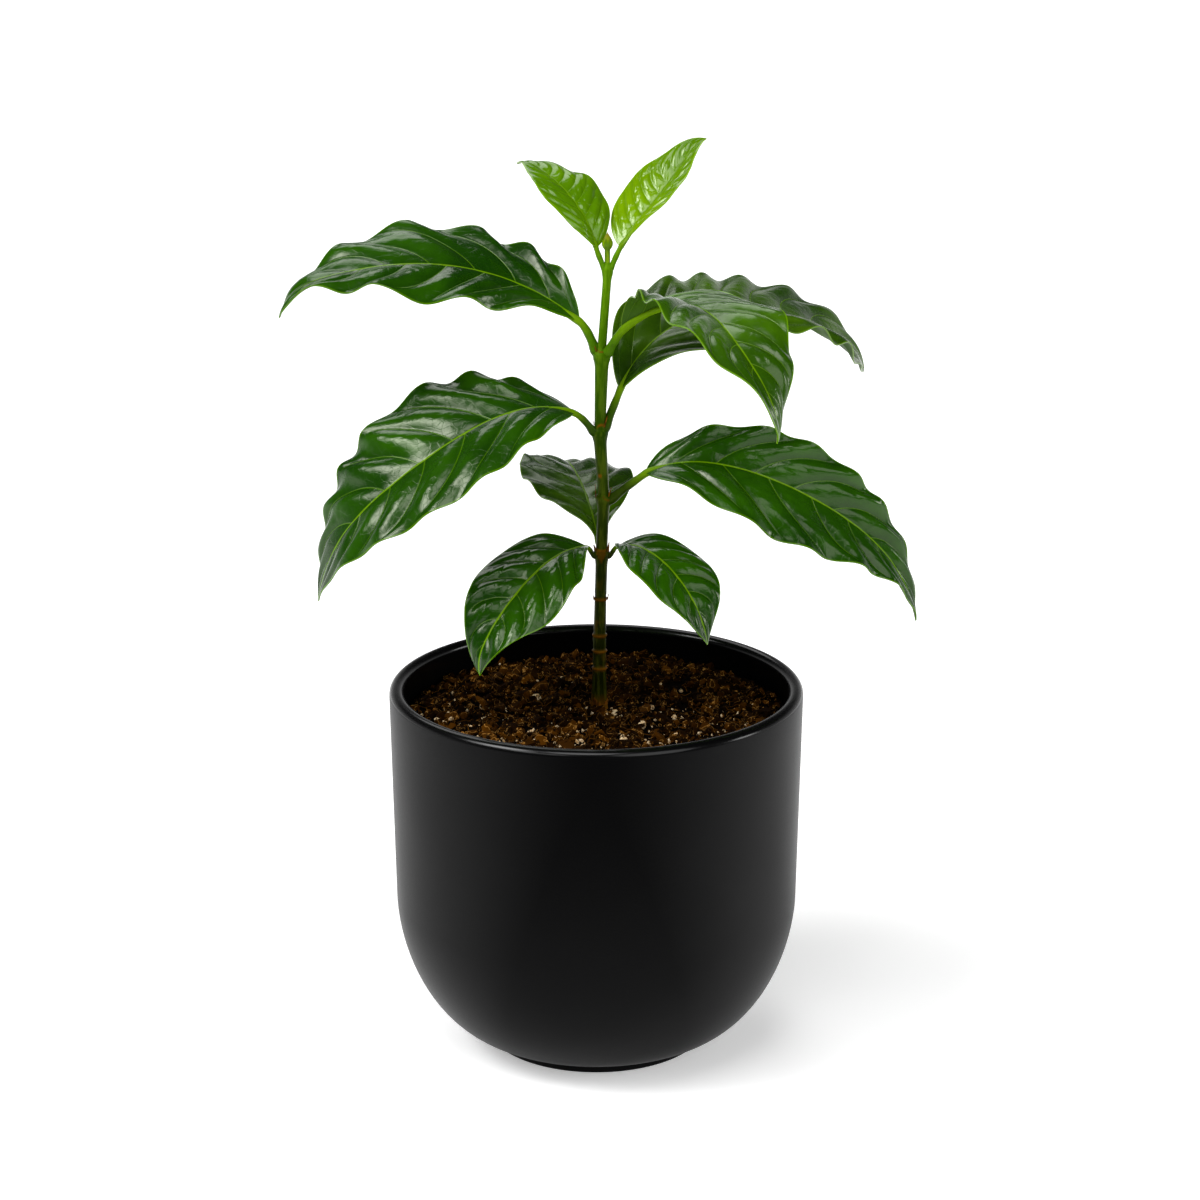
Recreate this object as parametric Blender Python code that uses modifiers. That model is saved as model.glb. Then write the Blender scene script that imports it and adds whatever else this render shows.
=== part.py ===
"""A young coffee plant in a round black ceramic pot.

Metres, +Z up. The origin is the centre of the flat underside of the pot, and
the view from -Y is the front. The pot is turned from one profile, the soil
fills it, and the stem is one tapering limb with a swelling at every node.
Each leaf is a thin blade of its own outline on a leaf stalk, and the bud
stands between the two youngest leaves.
"""

import math
from dataclasses import dataclass

import bpy
import numpy as np
from mathutils import Vector

MM = 0.001
GAP = 0.3

# Pot, in millimetres: a straight wall, then a rounded belly down to a foot.
RIM_RADIUS = 57.5
POT_HEIGHT = 104.0
WALL = 4.1
SHOULDER_RADIUS = 56.5
SHOULDER_HEIGHT = 43.2
BELLY_POWER = 1.82
FOOT_RADIUS = 31.4
FOOT_HEIGHT = 3.3
BELLY_DEPTH = SHOULDER_HEIGHT - FOOT_HEIGHT
FLOOR = 6.0
TURN_STEPS = 48
BUD_STEPS = 12

# Soil.
SOIL_HEIGHT = 97.5
SOIL_EDGE_DROP = 1.5

# Stem: each node is (height, offset to +X, diameter below, at and above it).
STEM_FOOT_OFFSET = 0.8
STEM_FOOT_DIAMETER = 5.2
STEM_NECK_HEIGHT = 5.0
STEM_NECK_DIAMETER = 4.0
NODE_LOW = (142.0, 1.5, 3.3, 4.5, 3.2)
NODE_LOWER = (157.5, 2.0, 3.2, 4.6, 3.1)
NODE_MIDDLE = (176.0, 1.0, 3.5, 4.7, 3.0)
NODE_UPPER = (197.5, 1.5, 3.8, 4.9, 2.4)
NODE_TOP = (220.5, 3.0, 2.3, 3.2, 1.6)
NODE_REACH = 2.6
RING_HEIGHTS = (108.5, 113.5, 118.0, 128.5)
RING_DIAMETER = 4.2
RING_REACH = 0.7

# Bud.
BUD_TIP = 229.5
BUD_FOOT = 222.6
BUD_STALK = 1.0
BUD_WIDTH = 2.8

# Leaf blades.
BLADE_THICKNESS = 0.6
STATIONS = 22
ACROSS = (-1.0, -0.5, 0.0, 0.5, 1.0)
BASE_START = 0.02
NARROWEST = 0.45
HOOK_START = 0.8
SLIM_REACH = 0.15
WAVE_START = 0.18
WAVE_SWEEP = 0.12
MARGIN_POWER = 2.2


@dataclass
class Leaf:
    """The sizes of one leaf, in millimetres and degrees.

    Pairs are for the left and the right half, seen from the leaf's base.
    Heading (0 is +X, 90 is +Y), pitch and roll are given at even steps from
    the base to the tip, and the midrib follows them. Crests are the places on
    each margin, as shares of the length, where its wave stands highest.
    """

    name: str
    node: tuple
    base: tuple
    length: float
    half_width: tuple
    heading: tuple
    pitch: tuple
    roll: tuple
    tip_hook: float = 0.0
    widest: float = 0.45
    fullness: float = 0.9
    lift: tuple = (10.0, 10.0)
    base_fold: tuple = (15.0, 15.0)
    fold_reach: float = 0.12
    slim_base: float = 0.0
    cup: float = 0.1
    wave_height: tuple = (0.0, 0.0)
    left_crests: tuple = (0.25, 0.5, 0.75)
    right_crests: tuple = (0.25, 0.5, 0.75)
    stalk_diameter: float = 2.2
    stalk_rise: float = 0.0
    stalk_start: float = 1.8


LEAVES = (
    Leaf("leaf_top_left", NODE_TOP, base=(0.0, -0.5, 226.0), length=40.0,
         half_width=(8.0, 10.0), heading=(150, 130, 135), pitch=(75, 40, 20, 15),
         roll=(5, 5, -5), tip_hook=-40, widest=0.4, base_fold=(5, 20), wave_height=(0.2, 0.6),
         left_crests=(0.3, 0.6, 0.9), right_crests=(0.2, 0.52, 0.8), stalk_diameter=1.5),
    Leaf("leaf_top_right", NODE_TOP, base=(6.5, -0.5, 226.0), length=40.0,
         half_width=(10.5, 8.0), heading=(35, 40, 35), pitch=(55, 40, 45, 50),
         roll=(10, 0, -10), tip_hook=-45, widest=0.4, lift=(20, 15), base_fold=(15, 5), cup=0.0,
         wave_height=(0.3, 0.2), left_crests=(0.2, 0.6, 0.9), right_crests=(0.5, 0.8),
         stalk_diameter=1.5),
    Leaf("leaf_upper_left", NODE_UPPER, base=(-4.5, 2.0, 205.5), length=90.0,
         half_width=(16.0, 21.0), heading=(155, 195, 195), pitch=(35, 15, -5, -15),
         roll=(10, 25, -15), tip_hook=-60, widest=0.48, lift=(5, 2), base_fold=(5, 55),
         fold_reach=0.18, wave_height=(2.0, 1.8), left_crests=(0.12, 0.39, 0.7, 0.88),
         right_crests=(0.12, 0.23, 0.35, 0.53, 0.73), stalk_diameter=2.3),
    Leaf("leaf_upper_right", NODE_UPPER, base=(7.0, -2.5, 204.0), length=86.0,
         half_width=(17.5, 17.0), heading=(-10, -70, -20), pitch=(50, 0, -25, -95),
         roll=(15, 5, 20), tip_hook=-5, fullness=0.8, lift=(15, 15), base_fold=(40, 55),
         slim_base=0.2, wave_height=(1.6, 1.3), left_crests=(0.2, 0.55, 0.8),
         right_crests=(0.25, 0.45, 0.65, 0.85), stalk_diameter=2.3),
    Leaf("leaf_middle_left", NODE_MIDDLE, base=(-6.0, -3.0, 181.5), length=97.0,
         half_width=(20.0, 23.0), heading=(195, 190, 130), pitch=(25, -27, -45, -100),
         roll=(10, 20, 50), tip_hook=25, widest=0.4, lift=(0, 20), base_fold=(0, -15),
         wave_height=(0.8, 1.4), left_crests=(0.22, 0.37, 0.53, 0.68, 0.83),
         right_crests=(0.12, 0.22, 0.34, 0.56, 0.68, 0.78), stalk_diameter=1.9),
    Leaf("leaf_middle_right", NODE_MIDDLE, base=(6.5, 1.5, 187.0), length=107.0,
         half_width=(24.5, 22.5), heading=(35, 40, 45), pitch=(65, 5, -20, -40),
         roll=(-25, 0, -45), tip_hook=-20, widest=0.5, fullness=0.75, lift=(20, 0),
         base_fold=(45, 35), wave_height=(1.2, 1.5),
         left_crests=(0.16, 0.38, 0.5, 0.62, 0.75, 0.87),
         right_crests=(0.13, 0.37, 0.55, 0.7, 0.9), stalk_diameter=2.1),
    Leaf("leaf_lower_right", NODE_LOWER, base=(13.5, -1.5, 164.5), length=96.0,
         half_width=(14.0, 18.5), heading=(-10, 5, 5), pitch=(30, -20, -40, -95),
         roll=(-5, -50, -5), tip_hook=15, widest=0.4, fullness=0.85, lift=(25, 15),
         base_fold=(10, -15), wave_height=(1.1, 1.6),
         left_crests=(0.18, 0.32, 0.44, 0.58, 0.68, 0.8),
         right_crests=(0.09, 0.33, 0.52, 0.7, 0.85), stalk_diameter=2.3, stalk_rise=0.8),
    Leaf("leaf_low_left", NODE_LOW, base=(-2.5, -1.5, 143.5), length=53.0,
         half_width=(13.5, 13.0), heading=(215, 225, 205), pitch=(10, -25, -45, -85),
         roll=(-5, 20, 10), tip_hook=-20, widest=0.43, lift=(5, 15), wave_height=(1.4, 2.0),
         left_crests=(0.1, 0.36, 0.8), right_crests=(0.1, 0.7), stalk_diameter=1.3,
         stalk_start=0.3),
    Leaf("leaf_low_right", NODE_LOW, base=(5.5, -1.0, 143.5), length=44.0,
         half_width=(13.0, 12.5), heading=(-40, -42, -25), pitch=(25, -20, -50, -90),
         roll=(5, -5, -5), tip_hook=10, fullness=0.95, wave_height=(1.8, 0.4),
         left_crests=(0.1, 0.75), right_crests=(0.2, 0.5, 0.8), stalk_diameter=1.3,
         stalk_start=0.3),
    Leaf("leaf_low_rear", NODE_LOW, base=(0.5, 4.0, 143.0), length=67.0,
         half_width=(17.0, 16.0), heading=(105, 100, 110), pitch=(60, 10, 0, -55),
         roll=(5, -5, -10), widest=0.5, fullness=1.0, base_fold=(50, 20), wave_height=(0.8, 0.9),
         left_crests=(0.2, 0.37, 0.54, 0.7), right_crests=(0.3, 0.55, 0.8), stalk_diameter=1.5,
         stalk_start=0.3),
)


def clear_scene():
    for item in list(bpy.data.objects):
        bpy.data.objects.remove(item, do_unlink=True)


def make_material(name, color, roughness, metallic=0.0):
    material = bpy.data.materials.new(name)
    material.use_nodes = True
    shader = material.node_tree.nodes["Principled BSDF"]
    shader.inputs["Base Color"].default_value = (*color, 1.0)
    shader.inputs["Roughness"].default_value = roughness
    shader.inputs["Metallic"].default_value = metallic
    return material


def add_piece(name, data, material, collection):
    piece = bpy.data.objects.new(name, data)
    piece.data.materials.append(material)
    collection.objects.link(piece)
    return piece


def turned(name, profile, material, collection, offset=0.0, steps=TURN_STEPS):
    """A solid of revolution about Z, its profile given top to bottom at +X."""
    mesh = bpy.data.meshes.new(name)
    points = [(radius * MM, 0.0, height * MM) for radius, height in profile]
    edges = [(i, i + 1) for i in range(len(points) - 1)]
    mesh.from_pydata(points, edges, [])
    piece = add_piece(name, mesh, material, collection)
    piece.location.x = offset * MM
    screw = piece.modifiers.new("Turn", "SCREW")
    screw.steps = steps
    screw.render_steps = steps
    screw.use_merge_vertices = True
    screw.merge_threshold = 0.00005
    screw.use_smooth_shade = True
    return piece


def tube(name, points, radii, material, collection, resolution=2):
    """A round limb through the points, in millimetres, with its own girths."""
    curve = bpy.data.curves.new(name, "CURVE")
    curve.dimensions = "3D"
    curve.bevel_depth = MM
    curve.bevel_resolution = resolution
    curve.use_fill_caps = True
    spline = curve.splines.new("POLY")
    spline.points.add(len(points) - 1)
    for knot, place, radius in zip(spline.points, points, radii):
        knot.co = (*(Vector(place) * MM), 1.0)
        knot.radius = radius
    spline.use_smooth = True
    return add_piece(name, curve, material, collection)


# Pot and soil

def belly(angle, inset):
    """A point of the belly, from the shoulder (0) to the foot (pi / 2)."""
    across = math.cos(angle) ** (2.0 / BELLY_POWER)
    down = math.sin(angle) ** (2.0 / BELLY_POWER)
    radius = FOOT_RADIUS + (SHOULDER_RADIUS - FOOT_RADIUS - inset) * across
    height = SHOULDER_HEIGHT - (BELLY_DEPTH - inset) * down
    return radius, height


def rim_lip(steps=6):
    """The rounded lip, from the inner wall over to the outer wall."""
    middle = RIM_RADIUS - WALL / 2.0
    for i in range(steps + 1):
        angle = math.pi * (1.0 - i / steps)
        yield (middle + WALL / 2.0 * math.cos(angle),
               POT_HEIGHT - WALL / 2.0 * (1.0 - math.sin(angle)))


def pot_profile():
    inside = [(0.0, FLOOR), (FOOT_RADIUS - 2.0, FLOOR)]
    for i in range(6, -1, -1):
        inside.append(belly(math.pi / 2 * i / 7, WALL))
    outside = [belly(math.pi / 2 * i / 8, 0.0) for i in range(9)]
    foot = [(FOOT_RADIUS, 0.0), (0.0, 0.0)]
    return inside + list(rim_lip()) + outside + foot


def inner_radius(height):
    """The radius of the pot's inside at a height above its belly."""
    share = (height - SHOULDER_HEIGHT) / (POT_HEIGHT - WALL / 2.0 - SHOULDER_HEIGHT)
    return SHOULDER_RADIUS - WALL + (RIM_RADIUS - SHOULDER_RADIUS) * share


def soil_profile():
    edge = SOIL_HEIGHT - SOIL_EDGE_DROP
    top = [(0.0, SOIL_HEIGHT), (40.0, SOIL_HEIGHT),
           (inner_radius(edge) - GAP, edge)]
    side = []
    for i in range(0, 7):
        radius, height = belly(math.pi / 2 * i / 7, WALL)
        side.append((radius - GAP * 1.3, height + GAP * 0.8))
    floor = [(FOOT_RADIUS - 2.6, FLOOR + GAP), (0.0, FLOOR + GAP)]
    return top + side + floor


# Stem and bud

def stem_sections():
    """Every (height, offset, diameter) of the stem, from the soil upward."""
    foot = SOIL_HEIGHT + GAP
    sections = [(foot, STEM_FOOT_OFFSET, STEM_FOOT_DIAMETER),
                (foot + 1.5, STEM_FOOT_OFFSET, STEM_FOOT_DIAMETER * 0.93),
                (foot + STEM_NECK_HEIGHT, STEM_FOOT_OFFSET, STEM_NECK_DIAMETER)]
    lowest = NODE_LOW
    for ring in RING_HEIGHTS:
        share = (ring - foot) / (lowest[0] - foot)
        offset = STEM_FOOT_OFFSET + (lowest[1] - STEM_FOOT_OFFSET) * share
        girth = STEM_NECK_DIAMETER + (lowest[2] - STEM_NECK_DIAMETER) * share
        sections.append((ring - RING_REACH, offset, girth))
        sections.append((ring, offset, RING_DIAMETER))
        sections.append((ring + RING_REACH, offset, girth))
    for node in (NODE_LOW, NODE_LOWER, NODE_MIDDLE, NODE_UPPER):
        height, offset, below, swelling, above = node
        sections.append((height - NODE_REACH, offset, below))
        sections.append((height - 0.8, offset, swelling * 0.97))
        sections.append((height + 0.4, offset, swelling))
        sections.append((height + NODE_REACH * 0.6, offset, above * 1.1))
        sections.append((height + NODE_REACH * 1.3, offset, above))
    height, offset, below, swelling, above = NODE_TOP
    sections.append((height - NODE_REACH, offset, below))
    sections.append((height - 0.4, offset, swelling * 0.95))
    sections.append((height + 0.6, offset, swelling * 0.85))
    sections.append((height + 1.2, offset, above))
    sections.append((BUD_FOOT - GAP, offset, BUD_STALK))
    return sections


def make_stem(material, collection):
    sections = stem_sections()
    points = [(offset, 0.0, height) for height, offset, girth in sections]
    radii = [girth / 2.0 for height, offset, girth in sections]
    return tube("stem", points, radii, material, collection, resolution=4)


def bud_profile():
    """A pointed bud, widest a third of the way up, on a short stalk."""
    swell = BUD_FOOT + 2.4
    profile = [(0.0, BUD_TIP)]
    steps = 6
    for i in range(1, steps + 1):
        share = i / steps
        height = BUD_TIP + (swell - BUD_TIP) * share
        radius = BUD_WIDTH / 2.0 * math.sin(math.pi * share ** 1.4 * 0.86) ** 0.9
        profile.append((max(radius, BUD_STALK / 2.0), height))
    return profile + [(BUD_STALK / 2.0, BUD_FOOT), (0.0, BUD_FOOT)]


# Leaves

def along(values, t):
    """The smooth curve through evenly spaced values, at t from 0 to 1."""
    last = len(values) - 1
    total = 0.0
    for i, value in enumerate(values):
        weight = 1.0
        for j in range(last + 1):
            if j != i:
                weight *= (t * last - j) / (i - j)
        total += weight * value
    return total


def directions(leaf, t):
    """The midrib's direction at t, with the blade's level side and normal."""
    heading = math.radians(along(leaf.heading, t))
    bend = leaf.tip_hook * max(0.0, (t - HOOK_START) / (1.0 - HOOK_START)) ** 1.5
    pitch = math.radians(along(leaf.pitch, t) + bend)
    roll = math.radians(along(leaf.roll, t))
    forward = Vector((math.cos(pitch) * math.cos(heading),
                      math.cos(pitch) * math.sin(heading), math.sin(pitch)))
    level = Vector((math.sin(heading), -math.cos(heading), 0.0))
    up = level.cross(forward)
    side = level * math.cos(roll) + up * math.sin(roll)
    normal = up * math.cos(roll) - level * math.sin(roll)
    return forward, side, normal


def midrib(leaf, steps=200):
    """Points along the midrib, found by adding up its directions."""
    point = Vector(leaf.base)
    points = [point.copy()]
    for i in range(steps):
        forward = directions(leaf, (i + 0.5) / steps)[0]
        point = point + forward * (leaf.length / steps)
        points.append(point.copy())
    return points


def blade_width(leaf, t):
    """Half width at t as a share of the widest: pointed at both ends."""
    power = math.log(0.5) / math.log(leaf.widest)
    return math.sin(math.pi * min(1.0, t) ** power) ** leaf.fullness


def crest_turns(crests, t):
    """Counts a margin's crests up to t: whole on a crest, even between two."""
    first = crests[1] - crests[0]
    last = crests[-1] - crests[-2]
    before = [crests[0] - first * k for k in (3, 2, 1)]
    after = [crests[-1] + last * k for k in (1, 2, 3)]
    places = [*before, *crests, *after]
    return float(np.interp(t, places, range(len(places))))


def blade_point(leaf, centre, t, u):
    """The blade's point at t along the midrib and u across it, -1 to 1."""
    forward, side, normal = directions(leaf, t)
    half = 1 if u > 0 else 0
    width = blade_width(leaf, t)
    slim = 1.0 - leaf.slim_base * math.exp(-(t / SLIM_REACH) ** 2)
    reach = max(leaf.half_width[half] * width * slim, NARROWEST)
    distance = reach * abs(u)
    fold = leaf.base_fold[half] * math.exp(-(t / leaf.fold_reach) ** 2)
    lift = math.radians(leaf.lift[half] + fold)
    across = distance * math.cos(lift) * (1 if u > 0 else -1)
    rise = distance * math.sin(lift) - leaf.cup * distance * abs(u)
    crests = leaf.right_crests if u > 0 else leaf.left_crests
    turn = crest_turns(crests, t + WAVE_SWEEP * (1.0 - abs(u)))
    ease = min(1.0, t / WAVE_START)
    strength = min(1.0, 1.3 * width) * ease * ease * (3.0 - 2.0 * ease)
    wave = leaf.wave_height[half] * math.cos(math.tau * turn)
    rise += wave * strength * abs(u) ** MARGIN_POWER
    return centre + side * across + normal * rise


def make_blade(leaf, material, collection):
    """A leaf blade: a loft of bent cross sections, made thick by Solidify."""
    ribs = midrib(leaf)
    verts = []
    for i in range(STATIONS):
        t = BASE_START + (1.0 - BASE_START) * i / (STATIONS - 1)
        centre = ribs[round(t * (len(ribs) - 1))]
        for u in ACROSS:
            verts.append(blade_point(leaf, centre, t, u) * MM)
    columns = len(ACROSS)
    faces = []
    for i in range(STATIONS - 1):
        for j in range(columns - 1):
            corner = i * columns + j
            faces.append((corner, corner + 1, corner + columns + 1, corner + columns))
    mesh = bpy.data.meshes.new(leaf.name)
    mesh.from_pydata([tuple(v) for v in verts], [], faces)
    mesh.shade_smooth()
    piece = add_piece(leaf.name, mesh, material, collection)
    solidify = piece.modifiers.new("Thickness", "SOLIDIFY")
    solidify.thickness = BLADE_THICKNESS * MM
    solidify.offset = 0.0
    return piece


def make_leaf_stalk(leaf, material, collection):
    """A petiole from the side of its node to the foot of the blade."""
    height, offset, below, swelling, above = leaf.node
    end = Vector(leaf.base)
    outward = Vector((end.x - offset, end.y, 0.0))
    run = outward.length
    outward.normalize()
    radius = leaf.stalk_diameter / 2.0
    if leaf.node is NODE_TOP:
        start = Vector((offset, 0.0, height + 2.0)) + outward * (BUD_STALK / 2 + GAP + radius)
    else:
        girth = above * 1.1 if leaf.stalk_start > NODE_REACH * 0.5 else swelling
        clear = min(girth / 2.0 + GAP + radius * 0.8, run * 0.8)
        start = Vector((offset, 0.0, height + leaf.stalk_start)) + outward * clear
    forward = directions(leaf, 0.0)[0]
    length = (end - start).length
    elbow = end - forward * (length * 0.45) - Vector((0.0, 0.0, leaf.stalk_rise))
    steps = 5
    points = []
    for i in range(steps + 1):
        t = i / steps
        points.append(start * (1 - t) ** 2 + elbow * (2 * t * (1 - t)) + end * t ** 2)
    radii = [radius * (1.1 - 0.2 * i / steps) for i in range(steps + 1)]
    name = leaf.name.replace("leaf", "petiole")
    return tube(name, points, radii, material, collection)


def build():
    clear_scene()
    collection = bpy.data.collections.new("potted_coffee_plant")
    bpy.context.scene.collection.children.link(collection)

    black_glaze = make_material("pot_glaze", (0.012, 0.012, 0.014), 0.38)
    dark_soil = make_material("soil", (0.05, 0.026, 0.014), 0.95)
    green_stem = make_material("stem_skin", (0.09, 0.17, 0.02), 0.5)
    green_stalk = make_material("stalk_skin", (0.11, 0.25, 0.02), 0.4)
    bud_skin = make_material("bud_skin", (0.3, 0.36, 0.02), 0.4)
    young_leaf = make_material("young_leaf", (0.16, 0.36, 0.01), 0.25)
    mature_leaf = make_material("mature_leaf", (0.02, 0.11, 0.008), 0.25)

    turned("pot", pot_profile(), black_glaze, collection)
    turned("soil", soil_profile(), dark_soil, collection)
    make_stem(green_stem, collection)
    turned("bud", bud_profile(), bud_skin, collection, NODE_TOP[1], BUD_STEPS)
    for leaf in LEAVES:
        young = leaf.node is NODE_TOP
        make_blade(leaf, young_leaf if young else mature_leaf, collection)
        make_leaf_stalk(leaf, green_stalk, collection)


build()
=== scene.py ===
# %% [markdown]
# A young coffee plant in a round black ceramic pot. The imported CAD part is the
# fixed frame, and every finished piece here stands where its plain solid is.
# Sizes are millimetres until a mesh is placed, because a leaf is easier to
# think of as 90 than as 0.09.

import math
from dataclasses import dataclass

import bpy
import numpy as np
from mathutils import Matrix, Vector


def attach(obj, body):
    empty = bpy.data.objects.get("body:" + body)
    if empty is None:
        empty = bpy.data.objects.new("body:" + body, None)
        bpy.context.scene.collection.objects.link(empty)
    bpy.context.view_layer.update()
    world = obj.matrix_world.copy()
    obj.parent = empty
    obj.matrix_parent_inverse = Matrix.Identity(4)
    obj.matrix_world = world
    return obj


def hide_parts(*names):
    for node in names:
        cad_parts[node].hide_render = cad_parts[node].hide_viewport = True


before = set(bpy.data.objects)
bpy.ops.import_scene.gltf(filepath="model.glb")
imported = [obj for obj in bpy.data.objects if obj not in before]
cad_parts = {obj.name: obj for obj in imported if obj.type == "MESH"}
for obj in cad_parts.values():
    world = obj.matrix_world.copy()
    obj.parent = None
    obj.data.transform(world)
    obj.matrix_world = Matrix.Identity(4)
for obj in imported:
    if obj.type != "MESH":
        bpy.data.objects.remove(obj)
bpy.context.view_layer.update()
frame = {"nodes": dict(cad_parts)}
MM = 0.001

# %% [markdown]
# Organic surfaces such as a blade, a stalk or the stem have no straight edge to
# extrude. Each one starts as a flat grid primitive, whose two directions are
# the surface's own: across and along. Its points are then laid onto the
# shape, so that the grid's UV map still says where on the leaf a point is.

# %% A grid laid onto a shape
def deselect_all():
    if bpy.context.mode != "OBJECT":
        bpy.ops.object.mode_set(mode="OBJECT")
    bpy.ops.object.select_all(action="DESELECT")


def laid_grid(name, across, along, place):
    """A grid primitive whose points (0 to 1 across, 0 to 1 along) go to place()."""
    deselect_all()
    bpy.ops.mesh.primitive_grid_add(x_subdivisions=across, y_subdivisions=along, size=1.0)
    piece = bpy.context.object
    piece.name = name
    piece.data.name = name
    flat = np.zeros(len(piece.data.vertices) * 3)
    piece.data.vertices.foreach_get("co", flat)
    flat = flat.reshape(-1, 3) + 0.5
    points = place(flat[:, 0], flat[:, 1]) * MM
    piece.data.vertices.foreach_set("co", points.ravel())
    piece.data.update()
    return piece


def close_seams(piece, distance=0.00001):
    """Merges points that meet, so that a rolled grid becomes a closed tube."""
    deselect_all()
    bpy.context.view_layer.objects.active = piece
    piece.select_set(True)
    bpy.ops.object.mode_set(mode="EDIT")
    bpy.ops.mesh.select_all(action="SELECT")
    bpy.ops.mesh.remove_doubles(threshold=distance)
    bpy.ops.object.mode_set(mode="OBJECT")


def apply_modifier(piece, kind, **settings):
    modifier = piece.modifiers.new(kind.title(), kind)
    for key, value in settings.items():
        setattr(modifier, key, value)
    deselect_all()
    bpy.context.view_layer.objects.active = piece
    piece.select_set(True)
    bpy.ops.object.modifier_apply(modifier=modifier.name)


def smooth(piece, angle=None):
    deselect_all()
    bpy.context.view_layer.objects.active = piece
    piece.select_set(True)
    if angle is None:
        bpy.ops.object.shade_smooth()
    else:
        bpy.ops.object.shade_smooth_by_angle(angle=math.radians(angle))


def settle(piece, slot, *nodes):
    """Ties a finished piece to the plant and to the solids that it stands for."""
    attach(piece, "root")
    if nodes:
        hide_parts(*nodes)
    print(piece.name, len(piece.data.polygons), "faces")
    return piece

# %% [markdown]
# A finish is a Principled shader with a few patterns mixed into its colour,
# its roughness and its bump. Writing each node by hand hides the idea, so a
# Signal wraps a socket and lets patterns be added and multiplied as numbers.

# %% Shader maths as expressions
class Signal:
    """A value in a shader; an expression on it adds Math nodes."""

    def __init__(self, finish, socket):
        self.finish = finish
        self.socket = socket

    def math(self, operation, other=None, flip=False):
        pair = [self] if other is None else ([other, self] if flip else [self, other])
        sockets = {index: value for index, value in enumerate(pair)}
        return self.finish.node("ShaderNodeMath", {"operation": operation}, sockets)

    def __add__(self, other):
        return self.math("ADD", other)

    def __sub__(self, other):
        return self.math("SUBTRACT", other)

    def __rsub__(self, other):
        return self.math("SUBTRACT", other, flip=True)

    def __mul__(self, other):
        return self.math("MULTIPLY", other)

    def __truediv__(self, other):
        return self.math("DIVIDE", other)

    def __rtruediv__(self, other):
        return self.math("DIVIDE", other, flip=True)

    def __pow__(self, other):
        return self.math("POWER", other)

    def __abs__(self):
        return self.math("ABSOLUTE")

    __radd__ = __add__
    __rmul__ = __mul__

    def fraction(self):
        return self.math("FRACT")

    def sine(self):
        return self.math("SINE")

    def smaller(self, other):
        return self.math("MINIMUM", other)

    def larger(self, other):
        return self.math("MAXIMUM", other)

    def band(self, low, high):
        """0 below low and 1 above high, smooth between; low may be the larger."""
        settings = {"interpolation_type": "SMOOTHSTEP"}
        start, end = (0.0, 1.0) if low < high else (1.0, 0.0)
        sockets = {"Value": self, "From Min": min(low, high), "From Max": max(low, high),
                   "To Min": start, "To Max": end}
        return self.finish.node("ShaderNodeMapRange", settings, sockets)


class Nodes:
    """A node tree, and one way to add any node to it."""

    def __init__(self, tree):
        self.tree = tree

    def node(self, kind, settings, sockets, output=0):
        node = self.tree.nodes.new(kind)
        for key, value in settings.items():
            if key == "stops":
                self.set_stops(node.color_ramp, value)
            else:
                setattr(node, key, value)
        for key, value in sockets.items():
            if isinstance(value, Signal):
                self.tree.links.new(value.socket, node.inputs[key])
            else:
                node.inputs[key].default_value = value
        return Signal(self, node.outputs[output])

    def set_stops(self, ramp, stops):
        while len(ramp.elements) < len(stops):
            ramp.elements.new(0.5)
        for element, (place, color) in zip(ramp.elements, stops):
            element.position = place
            element.color = (*color, 1.0)

    def mix(self, factor, first, second):
        """Two colours blended by a factor."""
        sockets = {0: factor, 6: self.color(first), 7: self.color(second)}
        return self.node("ShaderNodeMix", {"data_type": "RGBA"}, sockets, output=2)

    def color(self, value):
        return value if isinstance(value, Signal) else (*value, 1.0)

    def part(self, vector, index):
        return self.node("ShaderNodeSeparateXYZ", {}, {0: vector}, output=index)

    def noise(self, vector, scale, detail=3.0, roughness=0.5):
        sockets = {"Vector": vector, "Scale": scale, "Detail": detail, "Roughness": roughness}
        return self.node("ShaderNodeTexNoise", {}, sockets)

    def cells(self, vector, scale, feature="DISTANCE_TO_EDGE", output=0):
        return self.node("ShaderNodeTexVoronoi", {"feature": feature},
                         {"Vector": vector, "Scale": scale}, output)

    def stretched(self, vector, scale):
        return self.node("ShaderNodeMapping", {}, {"Vector": vector, "Scale": scale})


class Finish(Nodes):
    """A material and its Principled shader."""

    def __init__(self, name, **constants):
        self.material = bpy.data.materials.new(name)
        self.material.use_nodes = True
        super().__init__(self.material.node_tree)
        self.shader = self.tree.nodes["Principled BSDF"]
        for key, value in constants.items():
            self.shader.inputs[key.replace("_", " ")].default_value = value

    def place(self):
        """Object coordinates, in metres."""
        return self.node("ShaderNodeTexCoord", {}, {}, output="Object")

    def uv(self):
        """The piece's own map as two signals, across and along."""
        vector = self.node("ShaderNodeUVMap", {}, {})
        return self.part(vector, 0), self.part(vector, 1)

    def attribute(self, name):
        return self.node("ShaderNodeAttribute", {"attribute_name": name}, {}, output="Fac")

    def feed(self, **signals):
        for key, value in signals.items():
            self.tree.links.new(value.socket, self.shader.inputs[key.replace("_", " ")])

    def bump(self, height, distance, strength=1.0):
        sockets = {"Height": height, "Distance": distance, "Strength": strength}
        self.feed(Normal=self.node("ShaderNodeBump", {}, sockets))

# %% [markdown]
# The pot is a turned form: a straight wall on a rounded belly, with a soft
# lip. A lathe profile could be spun, but raising rings from the foot keeps
# every ring level and round, so each ring here is an extrusion of the one
# before it, scaled to the profile's radius.

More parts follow.
